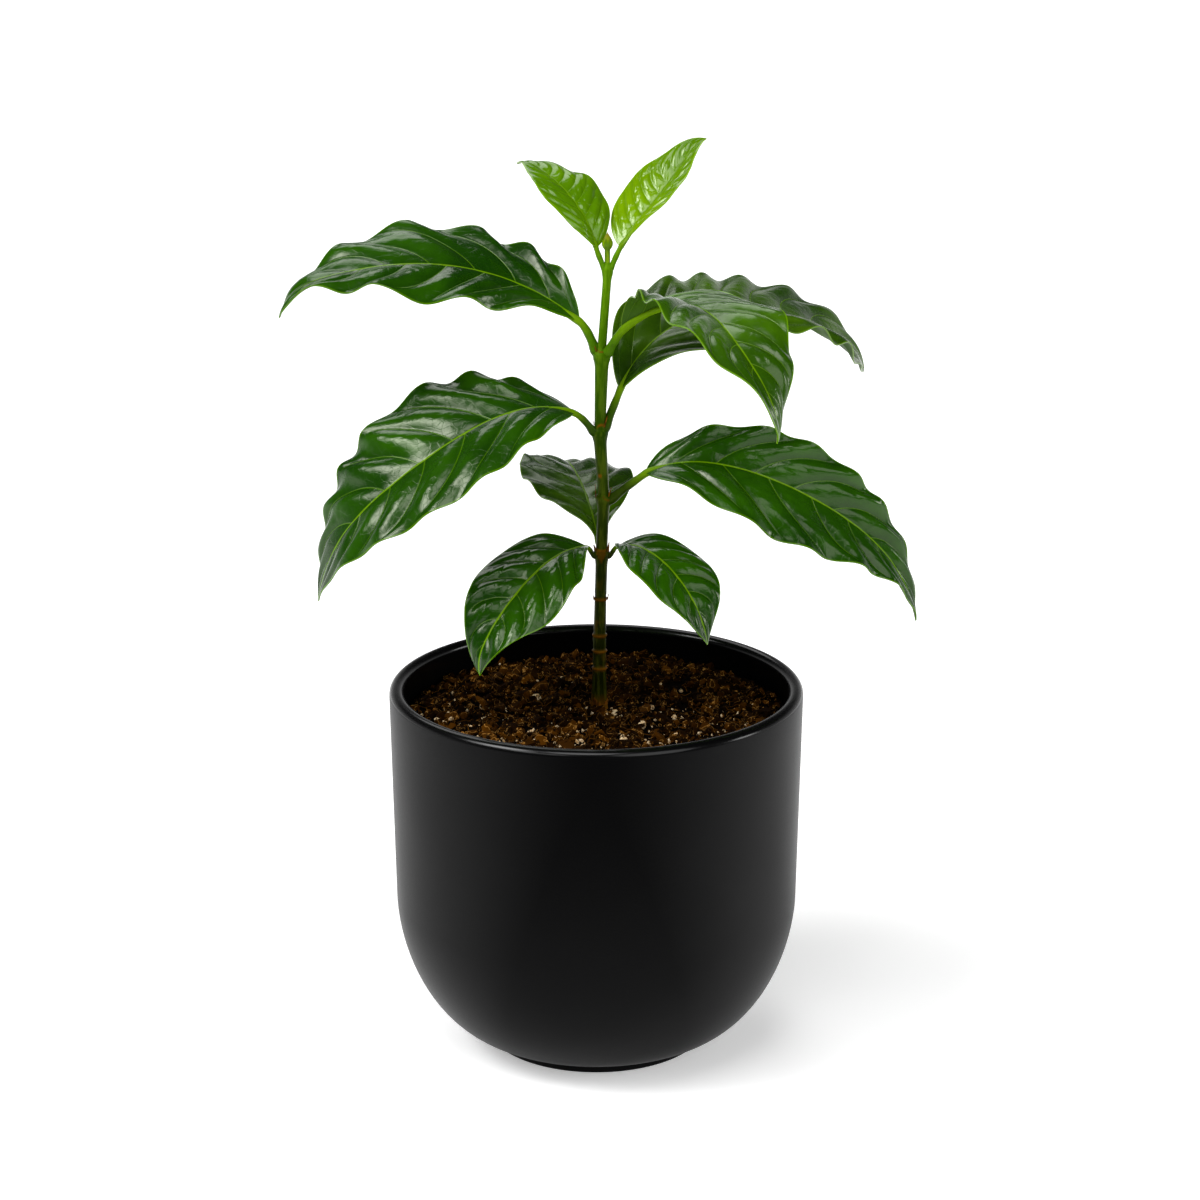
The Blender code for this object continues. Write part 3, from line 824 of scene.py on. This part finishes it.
def make_blade(leaf):
    rows = 220 if leaf.length > 70 else 140
    values = {}

    def place(across, along):
        u = across * 2.0 - 1.0
        reach = blade_reach(leaf, u, along)
        values["from_rib"] = reach * np.abs(u)
        values["from_margin"] = reach * (1.0 - np.abs(u))
        values["vein_pairs"] = np.full(len(u), SURFACE[leaf.name][0])
        values["vein_turn"] = np.full(len(u), vein_turn(leaf))
        return blade_points(leaf, u, along)

    blade = laid_grid(leaf.name + "_blade", 76, rows, place)
    for title, value in values.items():
        attribute = blade.data.attributes.new(title, "FLOAT", "POINT")
        attribute.data.foreach_set("value", value.astype(np.float32))
    for skin in leaf_skins(leaf):
        blade.data.materials.append(skin.material)
    deselect_all()
    bpy.context.view_layer.objects.active = blade
    blade.select_set(True)
    bpy.ops.object.mode_set(mode="EDIT")
    bpy.ops.mesh.select_all(action="SELECT")
    bpy.ops.mesh.dissolve_degenerate(threshold=0.000002)
    bpy.ops.object.mode_set(mode="OBJECT")
    apply_modifier(blade, "SOLIDIFY", thickness=BLADE_THICKNESS * MM, offset=0.0,
                   material_offset=1, use_quality_normals=True)
    smooth(blade, 70)
    return blade


for leaf in LEAVES:
    slot = "young_leaves" if leaf.node is NODE_TOP else "mature_leaves"
    settle(make_blade(leaf), slot, leaf.name)

# %% [markdown]
# A leaf stalk and the midrib that it feeds are one vein. It leaves the stem
# thick, turns to the blade, and then runs on under the blade's skin, thinner
# and thinner, until it ends at the tip. It shows as a pale line above and as a
# rounded rib below.

# %% Make the stalks and midribs
def stalk_line(leaf):
    """Points from inside the stem to the foot of the blade, and their radii."""
    height, offset, below, swelling, above = leaf.node
    end = np.array(leaf.base)
    forward = directions(leaf, np.array([0.0]))[0][0]
    outward = np.array([end[0] - offset, end[1], 0.0])
    outward = outward / np.linalg.norm(outward)
    radius = leaf.stalk_diameter / 2.0
    upright = np.array([0.0, 0.0, 1.0])
    low = leaf.node is NODE_LOW
    start = np.array([offset, 0.0, height]) + outward * max(0.2, below / 2.0 - radius * 0.95)
    start = start - upright * (1.4 if low else 2.2 if leaf.node is NODE_LOWER else 1.6)
    span = np.linalg.norm(end - start)
    first = start + (outward * 0.45 * span if low else (end - start) * 0.30 + upright * span * 0.06)
    last = end - forward * span * 0.30 - upright * leaf.stalk_rise
    share = np.linspace(0.0, 1.0, 30)[:, None]
    line = (start * (1 - share) ** 3 + first * 3 * share * (1 - share) ** 2
            + last * 3 * share ** 2 * (1 - share) + end * share ** 3)
    wider = 0.12 if leaf.node is NODE_TOP else 0.34
    flare = 1.0 + wider * np.exp(-((share[:, 0] - 0.22) / 0.22) ** 2)
    flare = flare * (0.75 + 0.25 * np.clip(share[:, 0] / 0.18, 0.0, 1.0))
    return line, radius * flare


def make_vein(leaf):
    stalk, stalk_radii = stalk_line(leaf)
    radius = leaf.stalk_diameter / 2.0
    t = np.linspace(0.0, 0.985, 110)[1:]
    normal = directions(leaf, t)[2]
    thick = radius * (0.70 * (1.0 - t) ** 0.8 + 0.22 * np.exp(-t / 0.03)) + 0.16
    shown = np.minimum(0.45 * (1.0 - t) ** 0.6 + 0.07 + 0.5 * np.exp(-t / 0.025), thick * 0.9)
    sink = (np.sqrt(thick ** 2 - shown ** 2) - BLADE_THICKNESS / 2.0) * np.clip(t / 0.07, 0.0, 1.0)
    rib = midrib(leaf, t) - normal * sink[:, None]
    line = np.vstack([stalk, rib])
    radii = np.concatenate([stalk_radii, thick])
    ahead = np.gradient(line, axis=0)
    ahead = ahead / np.linalg.norm(ahead, axis=1)[:, None]
    side = directions(leaf, np.array([0.0]))[1][0]
    frames = []
    for direction in ahead:
        side = side - direction * np.dot(side, direction)
        side = side / np.linalg.norm(side)
        frames.append((side, np.cross(side, direction)))
    sides = np.array([frame[0] for frame in frames])
    ups = np.array([frame[1] for frame in frames])
    places = np.linspace(0.0, 1.0, len(line))

    def place(across, along):
        angle = -across * math.tau
        middle = np.stack([np.interp(along, places, line[:, i]) for i in range(3)], 1)
        one = np.stack([np.interp(along, places, sides[:, i]) for i in range(3)], 1)
        two = np.stack([np.interp(along, places, ups[:, i]) for i in range(3)], 1)
        size = np.interp(along, places, radii) * (1.0 + 0.06 * np.sin(along * 60.0))
        size = np.where(np.minimum(along, 1.0 - along) <= 1e-6, 0.0, size)
        flat = 1.0 - 0.12 * np.clip(np.sin(angle), 0.0, 1.0)
        return (middle + one * (size * np.cos(angle))[:, None]
                + two * (size * flat * np.sin(angle))[:, None])

    vein = laid_grid(leaf.name.replace("leaf", "petiole") + "_vein", 14, 180, place)
    close_seams(vein, 0.000003)
    smooth(vein)
    return vein


def vein_finish(name, low, high):
    """Green flesh with fine streaks; the stalk takes the stem's green of its height."""
    flesh = Finish(name, Specular_IOR_Level=0.16, Specular_Tint=(0.9, 1.0, 0.3, 1.0))
    along = flesh.uv()[1]
    spot = flesh.place()
    streak = flesh.noise(spot, 800.0, 4.0)
    shoot = limb_tone(flesh, flesh.part(spot, 2))
    shoot = flesh.mix(streak.band(0.35, 0.65), flesh.mix(0.2, shoot, (0.0, 0.0, 0.0)), shoot)
    tone = flesh.mix(along.band(0.24, 0.10), flesh.mix(streak, low, high), shoot)
    flesh.feed(Base_Color=tone, Roughness=0.32 + 0.2 * streak)
    flesh.bump(streak, 0.00008, 0.5)
    return flesh


mature_vein = vein_finish("mature_vein", (0.095, 0.205, 0.000), (0.145, 0.285, 0.000))
young_vein = vein_finish("young_vein", (0.090, 0.215, 0.000), (0.140, 0.290, 0.000))
for leaf in LEAVES:
    vein = make_vein(leaf)
    flesh = young_vein if leaf.node is NODE_TOP else mature_vein
    vein.data.materials.append(flesh.material)
    settle(vein, "petioles", leaf.name.replace("leaf", "petiole"))

# %% [markdown]
# The bud at the top is two tiny leaves still folded together: a pointed body
# on a short stalk, flattened a little and creased where the two meet.

# %% Make the bud
BUD_TIP = 230.0
BUD_FOOT = 225.4
BUD_WIDTH = 3.0
BUD_STALK = 1.5
BUD_ROOT = 220.5


def bud_skin(across, along):
    angle = across * math.tau
    height = BUD_ROOT + along * (BUD_TIP - BUD_ROOT)
    share = np.clip((BUD_TIP - height) / (BUD_TIP - BUD_FOOT), 0.0, 1.0)
    body = BUD_WIDTH / 2.0 * np.sin(math.pi * share ** 1.25 * 0.80).clip(0.0) ** 0.95
    stalk = BUD_STALK / 2.0 * np.clip((BUD_FOOT + 1.2 - height) / 1.2, 0.0, 1.0)
    crease = 1.0 - 0.16 * np.exp(-(np.angle(np.exp(2j * (angle - 1.57))) / 0.5) ** 2)
    body = np.where(height < BUD_FOOT, 0.0, body * crease)
    body = np.maximum(body, stalk)
    radius = np.where(np.minimum(along, 1.0 - along) <= 1e-6, 0.0, body)
    offset = NODE_TOP[1]
    return np.stack([offset + radius * np.cos(angle), 0.86 * radius * np.sin(angle), height], 1)


bud = laid_grid("bud_folded", 32, 60, bud_skin)
close_seams(bud, 0.000003)
smooth(bud)
bud_green = Finish("bud_green", Roughness=0.3, Specular_IOR_Level=0.12)
spot = bud_green.place()
streak = bud_green.noise(bud_green.stretched(spot, (1500.0, 1500.0, 260.0)), 1.0, 3.0)
tip = bud_green.part(spot, 2).band(0.2270, 0.2300)
body = bud_green.mix(streak.band(0.4, 0.6), (0.090, 0.190, 0.000), (0.190, 0.320, 0.000))
bud_green.feed(Base_Color=bud_green.mix(tip * 0.75, body, (0.26, 0.16, 0.005)))
bud_green.bump(streak, 0.00008, 0.5)
bud.data.materials.append(bud_green.material)
settle(bud, "bud", "bud")

# %% [markdown]
# Between the two stalks of a node sit small papery scales. They are pointed,
# curl round the stem, and turn brown early. Each is a grid laid on a short
# hollow cone and thickened, and all of them are joined into one piece.

# %% Make the papery scales
# height, side it faces in degrees, width, height of the scale, lean outward
SCALES = (
    (221.0, 180, 0.5, 0.6, 0.5), (221.0, 0, 0.5, 0.6, 0.5),
    (197.9, 205, 1.3, 1.6, 0.5), (197.9, -22, 1.3, 1.6, 0.5), (198.2, 90, 1.6, 1.6, 0.3),
    (177.2, -25, 1.3, 3.0, 0.45), (177.4, 175, 0.8, 1.2, 0.4), (176.9, 110, 1.8, 2.0, 0.3),
    (157.7, 182, 0.6, 3.4, 0.10), (157.5, 200, 0.5, 2.0, 0.15), (157.9, -38, 0.8, 1.7, 0.35),
    (158.1, -12, 0.9, 2.0, 0.35), (157.8, 95, 1.6, 1.8, 0.3),
    (142.3, 205, 1.3, 1.9, 0.35), (142.3, -28, 1.5, 2.8, 0.20), (142.3, 180, 1.0, 1.5, 0.4),
    (142.3, 95, 1.8, 2.0, 0.3),
    (128.3, 195, 0.9, 1.4, 0.25), (128.4, -15, 1.1, 1.6, 0.25), (128.2, -50, 0.9, 1.0, 0.2),
    (98.4, 240, 2.0, 2.2, 0.4), (98.2, -35, 1.8, 1.8, 0.5), (98.6, 100, 2.4, 2.0, 0.4),
    (98.0, 175, 1.8, 1.6, 0.5), (98.0, -90, 1.6, 1.4, 0.4),
)


def make_scale(place_at, facing, width, tall, lean):
    offset, radius = stem_at(np.array([place_at]))
    facing = math.radians(facing)

    def place(across, along):
        spread = (across - 0.5) * width * (1.0 - along ** 1.6) / (radius[0] + 0.3)
        out = radius[0] + 0.12 + lean * along ** 1.5 * tall * 0.45
        angle = facing + spread
        curl = 0.12 * np.sin(along * 7.0 + facing)
        height = place_at + along * tall + curl
        return np.stack([offset[0] + out * np.cos(angle), out * np.sin(angle), height], 1)

    scale = laid_grid("scale", 8, 12, place)
    apply_modifier(scale, "SOLIDIFY", thickness=0.14 * MM, offset=0.0)
    return scale


def join(pieces, name):
    deselect_all()
    for piece in pieces:
        piece.select_set(True)
    bpy.context.view_layer.objects.active = pieces[0]
    bpy.ops.object.join()
    pieces[0].name = name
    pieces[0].data.name = name
    return pieces[0]


scales = join([make_scale(*numbers) for numbers in SCALES], "papery_scales")
smooth(scales, 60)
paper = Finish("papery_brown", Roughness=0.7, Specular_IOR_Level=0.06)
spot = paper.place()
fiber = paper.noise(paper.stretched(spot, (2200.0, 2200.0, 300.0)), 1.0, 4.0)
paper.feed(Base_Color=paper.mix(fiber.band(0.3, 0.7), (0.040, 0.012, 0.001), (0.210, 0.075, 0.004)))
paper.bump(fiber, 0.0001, 0.6)
scales.data.materials.append(paper.material)
settle(scales, "stem")

# %% [markdown]
# Potting soil is never level. A round sheet of it carries lumps of several
# sizes, and loose bits lie on top: bark chips, peat crumbs, root fibres and
# white perlite. A few lumps of each kind are modelled, and copies of them,
# turned and scaled, are strewn and joined.

# %% Lay the soil
SOIL_EDGE_DROP = 1.5
SOIL_LEVEL = SOIL_HEIGHT - 0.9
lumps = [(52.0 * math.sqrt(rng.uniform(0.0, 1.0)), rng.uniform(0, math.tau),
          rng.uniform(1.0, 3.6), rng.uniform(-1.3, 1.2)) for _ in range(620)]


def soil_bumps(x, y):
    height = np.zeros_like(x)
    for out, turn, size, rise in lumps:
        away = (x - out * math.cos(turn)) ** 2 + (y - out * math.sin(turn)) ** 2
        height += rise * np.exp(-away / (size * size * 0.5))
    return height


def soil_top(x, y):
    out = np.hypot(x, y)
    drop = SOIL_EDGE_DROP * np.clip((out - 40.0) / 13.0, 0.0, 1.0)
    return SOIL_LEVEL - drop + np.clip(soil_bumps(x, y) * 0.6, -1.9, 0.9)


SOIL_RADIUS = RIM_RADIUS - WALL - 0.15


def soil_sheet(across, along):
    x = (across - 0.5) * 2.0
    y = (along - 0.5) * 2.0
    square = np.maximum(np.abs(x), np.abs(y))
    round_share = np.hypot(x, y).clip(1e-9)
    x, y = x * square / round_share * SOIL_RADIUS, y * square / round_share * SOIL_RADIUS
    height = soil_top(x, y)
    return np.stack([x, y, height], 1)


soil = laid_grid("soil_top", 180, 180, soil_sheet)
apply_modifier(soil, "SOLIDIFY", thickness=1.2 * MM, offset=-1.0)
smooth(soil)
earth = Finish("peat", Roughness=0.95, Specular_IOR_Level=0.02)
spot = earth.place()
crumb = earth.noise(spot, 900.0, 8.0, 0.65)
patch = earth.noise(spot, 160.0, 4.0)
# painted shade: the peat is near black, standing for the shade in the gaps between crumbs, and the lit
# crumbs are painted lighter where two noises meet
painted_gap_shade = earth.mix(patch, (0.0006, 0.0002, 0.0), (0.0030, 0.0008, 0.0))
lit = crumb.band(0.52, 0.72) * patch.band(0.42, 0.60)
earth.feed(Base_Color=earth.mix(lit, painted_gap_shade, (0.050, 0.018, 0.0006)))
earth.bump(crumb, 0.0012, 1.0)
soil.data.materials.append(earth.material)
settle(soil, "soil", "soil")


# %% Strew the loose bits
def lump_shape(name, stretch, rough, seed, detail=2):
    """A small broken lump: an ico sphere pulled out of round and flattened."""
    deselect_all()
    bpy.ops.mesh.primitive_ico_sphere_add(subdivisions=detail, radius=1.0)
    lump = bpy.context.object
    lump.name = name
    bpy.ops.object.mode_set(mode="EDIT")
    bpy.ops.mesh.select_all(action="SELECT")
    bpy.ops.transform.resize(value=stretch)
    bpy.ops.transform.vertex_random(offset=rough, seed=seed)
    bpy.ops.object.mode_set(mode="OBJECT")
    return lump


def copy_lump(source, x, y, size, lift, tilt):
    """A copy of a lump on the soil, with a tone of its own between 0 and 1."""
    bit = source.copy()
    bit.data = source.data.copy()
    bpy.context.collection.objects.link(bit)
    height = soil_top(np.array([x]), np.array([y]))[0] + size * lift
    bit.location = (x * MM, y * MM, height * MM)
    bit.rotation_euler = (rng.normal(0, tilt), rng.normal(0, tilt), rng.uniform(0, math.tau))
    bit.scale = (size * MM, size * MM, size * MM)
    tone = bit.data.attributes.new("tone", "FLOAT", "POINT")
    tone.data.foreach_set("value", np.full(len(bit.data.vertices), rng.uniform(), np.float32))
    return bit


def join_bits(bits, shapes, name):
    piece = join(bits, name)
    deselect_all()
    piece.select_set(True)
    bpy.context.view_layer.objects.active = piece
    bpy.ops.object.transform_apply(location=True, rotation=True, scale=True)
    for shape in shapes:
        bpy.data.objects.remove(shape)
    return piece


def strew(shapes, count, sizes, reach, lift, tilt, front_share=0.0):
    """Copies of the shapes over the soil; the small ones are the most."""
    bits = []
    for _ in range(count):
        out = reach * math.sqrt(rng.uniform(0.003, 1.0))
        turn = rng.uniform(0, math.tau)
        x, y = out * math.cos(turn), out * math.sin(turn)
        if rng.uniform() < front_share and y > 0:
            y = -y
        size = sizes[0] + (sizes[1] - sizes[0]) * rng.uniform() ** 2.2
        source = shapes[int(rng.integers(len(shapes)))]
        bits.append(copy_lump(source, x, y, size, lift, tilt))
    return bits


def chip_finish(name, low, high, fleck_and_glint, scale, roughness):
    """A brown whose depth is the bit's own tone, with flecks of a lighter colour and thin painted
    highlight lines of the same colour.
    """
    chip = Finish(name, Roughness=roughness, Specular_IOR_Level=0.02)
    spot = chip.place()
    grain = chip.noise(spot, scale, 5.0, 0.6)
    body = chip.mix(chip.attribute("tone") ** 3.0 * 0.85 + grain * 0.15, low, high)
    ridge = chip.noise(spot, scale * 0.45, 2.0)
    # painted highlight: thin lines of the fleck colour, stronger on lighter bits, stand for glints on
    # crisp edges
    painted_edge_glint = ridge.band(0.480, 0.492) * ridge.band(0.508, 0.498) * chip.attribute("tone")
    chip.feed(Base_Color=chip.mix((grain.band(0.66, 0.72) * 0.8).larger(painted_edge_glint), body, fleck_and_glint))
    chip.bump(grain, 0.0004, 0.9)
    return chip


bark_shapes = [lump_shape("bark_shape", (1.0, 0.6, 0.30), 0.22, 3 + i, 1) for i in range(6)]
chips = join_bits(strew(bark_shapes, 700, (1.0, 3.8), 51.0, 0.15, 0.55), bark_shapes, "bark_chips")
smooth(chips, 20)
chips.data.materials.append(chip_finish("bark_chip", (0.0004, 0.0001, 0.0), (0.0850, 0.0280, 0.0006),
                                        (0.400, 0.190, 0.040), 620.0, 0.8).material)
settle(chips, "soil")

crumb_shapes = [lump_shape("crumb_shape", (1.0, 0.85, 0.7), 0.3, 30 + i, 1) for i in range(6)]
crumbs = join_bits(strew(crumb_shapes, 1900, (0.32, 1.9), 52.0, 0.3, 1.5), crumb_shapes, "peat_crumbs")
smooth(crumbs, 20)
crumbs.data.materials.append(chip_finish("peat_crumb", (0.0003, 0.0001, 0.0), (0.0650, 0.0210, 0.0005),
                                         (0.420, 0.215, 0.055), 800.0, 0.9).material)
settle(crumbs, "soil")

# %% [markdown]
# The perlite that shows in the photograph has its places in it: a pixel there
# is a ray from the camera, and the bit lies where the ray meets the soil. Its
# pores are painted dark, as the shade inside small holes, and pressed in by the bump.

# %% Lay the perlite
CAMERA_PLACE = (1.03, -748.6, 351.0)
CAMERA_TILT = 73.414
LENS, SENSOR = 85.0, 36.0
PHOTO_WIDTH = 1200
# pixel across, pixel down, diameter in millimetres
PERLITE = (
    (536, 700, 3.3), (641, 727, 3.1), (624, 743, 2.9), (437, 721, 2.0), (451, 719, 1.7),
    (491, 727, 2.0), (504, 727, 1.6), (456, 701, 1.5), (614, 715, 1.9), (651, 709, 2.0),
    (674, 719, 2.0), (702, 721, 1.5), (708, 731, 1.6), (670, 734, 1.3), (733, 721, 1.3),
    (661, 685, 1.3), (557, 683, 1.3), (513, 676, 1.1), (436, 714, 1.6), (449, 706, 1.5),
    (487, 737, 1.6), (523, 739, 1.3), (583, 747, 1.5), (729, 733, 1.2), (681, 694, 1.2),
    (530, 733, 1.6),
)


def on_soil(across, down):
    """Where the ray through a pixel of the photograph meets the soil."""
    tilt = math.radians(CAMERA_TILT)
    right = (across - PHOTO_WIDTH / 2.0) / PHOTO_WIDTH * SENSOR / LENS
    up = (PHOTO_WIDTH / 2.0 - down) / PHOTO_WIDTH * SENSOR / LENS
    ray = np.array([right, math.cos(tilt) * up + math.sin(tilt),
                    math.sin(tilt) * up - math.cos(tilt)])
    level = SOIL_LEVEL
    for _ in range(4):
        spot = np.array(CAMERA_PLACE) + ray * (level - CAMERA_PLACE[2]) / ray[2]
        level = soil_top(spot[:1], spot[1:2])[0]
    return spot[0], spot[1]


perlite_shapes = [lump_shape("perlite_shape", (1.0, 0.85, 0.75), 0.10, 60 + i, 3) for i in range(4)]
bits = []
for i, (across, down, diameter) in enumerate(PERLITE):
    x, y = on_soil(across, down)
    bits.append(copy_lump(perlite_shapes[i % 4], x, y, diameter / 2.0, 0.30, 0.6))
grain_shapes = [lump_shape("grain_shape", (1.0, 0.55, 0.4), 0.35, 80 + i, 1) for i in range(4)]
bits += strew(grain_shapes, 560, (0.20, 0.95), 50.0, 0.6, 1.5, 0.8)
perlite = join_bits(bits, perlite_shapes + grain_shapes, "perlite_bits")
smooth(perlite, 40)
cream = Finish("perlite", Roughness=0.95, Specular_IOR_Level=0.05)
spot = cream.place()
# painted shade: dark spots for the shade inside the pores, also pressed in by the bump
pore_shade = cream.cells(spot, 1300.0, "F1").band(0.38, 0.15)
grain = cream.noise(spot, 1500.0, 5.0)
body = cream.mix(grain.band(0.35, 0.65), (0.38, 0.210, 0.075), (0.86, 0.680, 0.430))
cream.feed(Base_Color=cream.mix(pore_shade * 0.92, body, (0.020, 0.008, 0.001)))
cream.bump(grain - pore_shade * 1.5, 0.0006, 1.0)
perlite.data.materials.append(cream.material)
settle(perlite, "soil")

# %% [markdown]
# Root fibres are thin bent threads. A curve with a round bevel is the plain
# way to make a thread, and it is turned into a mesh before it is joined.

# %% Strew the fibres
def make_fiber():
    out = 49.0 * math.sqrt(rng.uniform(0.01, 1.0))
    turn = rng.uniform(0, math.tau)
    x, y = out * math.cos(turn), out * math.sin(turn)
    heading = rng.uniform(0, math.tau)
    bend = rng.normal(0, 0.9)
    length = rng.uniform(1.5, 6.5)
    points = []
    for _ in range(7):
        z = soil_top(np.array([x]), np.array([y]))[0] + rng.uniform(0.3, 1.2)
        points.append((x, y, z))
        x += math.cos(heading) * length / 6
        y += math.sin(heading) * length / 6
        heading += bend / 3 + rng.normal(0, 0.18)
        if math.hypot(x, y) > 51.0:
            break
    if len(points) < 3:
        return None
    deselect_all()
    bpy.ops.curve.primitive_nurbs_path_add()
    thread = bpy.context.object
    spline = thread.data.splines[0]
    thread.data.splines.remove(spline)
    spline = thread.data.splines.new("POLY")
    spline.points.add(len(points) - 1)
    for point, place in zip(spline.points, points):
        point.co = (*(value * MM for value in place), 1.0)
    thread.data.bevel_depth = rng.uniform(0.05, 0.13) * MM
    thread.data.bevel_resolution = 1
    thread.data.use_fill_caps = True
    bpy.ops.object.convert(target="MESH")
    return bpy.context.object


threads = [thread for thread in (make_fiber() for _ in range(380)) if thread]
fibers = join(threads, "root_fibers")
deselect_all()
fibers.select_set(True)
bpy.context.view_layer.objects.active = fibers
bpy.ops.object.transform_apply(location=True, rotation=True, scale=True)
smooth(fibers)
fibers.data.materials.append(chip_finish("root_fiber", (0.060, 0.022, 0.001), (0.260, 0.115, 0.018),
                                         (0.560, 0.320, 0.110), 500.0, 0.9).material)
settle(fibers, "soil")

# %% [markdown]
# The photographed look: a bright, even studio with a pale floor that runs off
# to white. A sky that is dim above and toward the front, and glows only low
# down behind the plant, gives the black pot its dark front. Wide suns stand in
# for distant softboxes, because they light the near floor and the far floor alike.

# %% Floor and sky
deselect_all()
bpy.ops.mesh.primitive_plane_add(size=1.0)
floor = bpy.context.object
floor.name = "studio_floor"
bpy.ops.object.mode_set(mode="EDIT")
bpy.ops.mesh.select_all(action="SELECT")
bpy.ops.transform.resize(value=(40.0, 40.0, 1.0))
bpy.ops.object.mode_set(mode="OBJECT")
paint = Finish("studio_white", Base_Color=(0.96, 0.96, 0.96, 1.0), Roughness=0.9,
               Specular_IOR_Level=0.1, Emission_Color=(1.0, 1.0, 1.0, 1.0),
               Emission_Strength=0.38)
floor.data.materials.append(paint.material)

world = bpy.data.worlds.new("studio_world")
bpy.context.scene.world = world
world.use_nodes = True
sky = Nodes(world.node_tree)
toward = sky.node("ShaderNodeTexCoord", {}, {}, output="Generated")
rise = sky.part(toward, 2)
front = (sky.part(toward, 1) * -1.0).band(-0.5, 0.7)
glow = 0.028 + rise.band(0.42, 0.05) * front.band(1.0, 0.0) * 0.7
background = world.node_tree.nodes["Background"]
background.inputs["Color"].default_value = (1.0, 1.0, 1.0, 1.0)
world.node_tree.links.new(glow.socket, background.inputs["Strength"])


# %% Softboxes
def softbox(name, azimuth, elevation, width, power):
    """A distant round light; azimuth 0 is behind the plant and 90 is right of it."""
    deselect_all()
    bpy.ops.object.light_add(type="SUN")
    lamp = bpy.context.object
    lamp.name = name
    lamp.data.angle = math.radians(width)
    lamp.data.energy = power
    turn, tilt = math.radians(azimuth), math.radians(elevation)
    toward_lamp = Vector((math.sin(turn) * math.cos(tilt), math.cos(turn) * math.cos(tilt),
                          math.sin(tilt)))
    lamp.rotation_euler = toward_lamp.to_track_quat("Z", "Y").to_euler()
    return lamp


softbox("key_softbox", -110, 48, 30, 1.3)
softbox("key_core", -112, 50, 18, 0.6)
softbox("strip_near_key", -135, 38, 16, 0.25)
softbox("strip_middle", -155, 36, 14, 0.12)
softbox("front_softbox", -168, 66, 28, 0.9)
softbox("fill_softbox", 145, 34, 40, 0.8)
softbox("right_softbox", 92, 15, 16, 0.5)
softbox("rear_softbox", -15, 46, 30, 0.5)

# %% [markdown]
# The camera stands three quarters of a metre off, a little above the plant,
# and looks down by about 17 degrees.

# %% Camera
bpy.ops.object.camera_add(location=[value * MM for value in CAMERA_PLACE],
                          rotation=(math.radians(CAMERA_TILT), 0.0, 0.0))
camera = bpy.context.object
camera.name = "photo_camera"
camera.data.lens = LENS
camera.data.sensor_width = SENSOR
bpy.context.scene.camera = camera
bpy.context.scene.view_settings.view_transform = "Standard"
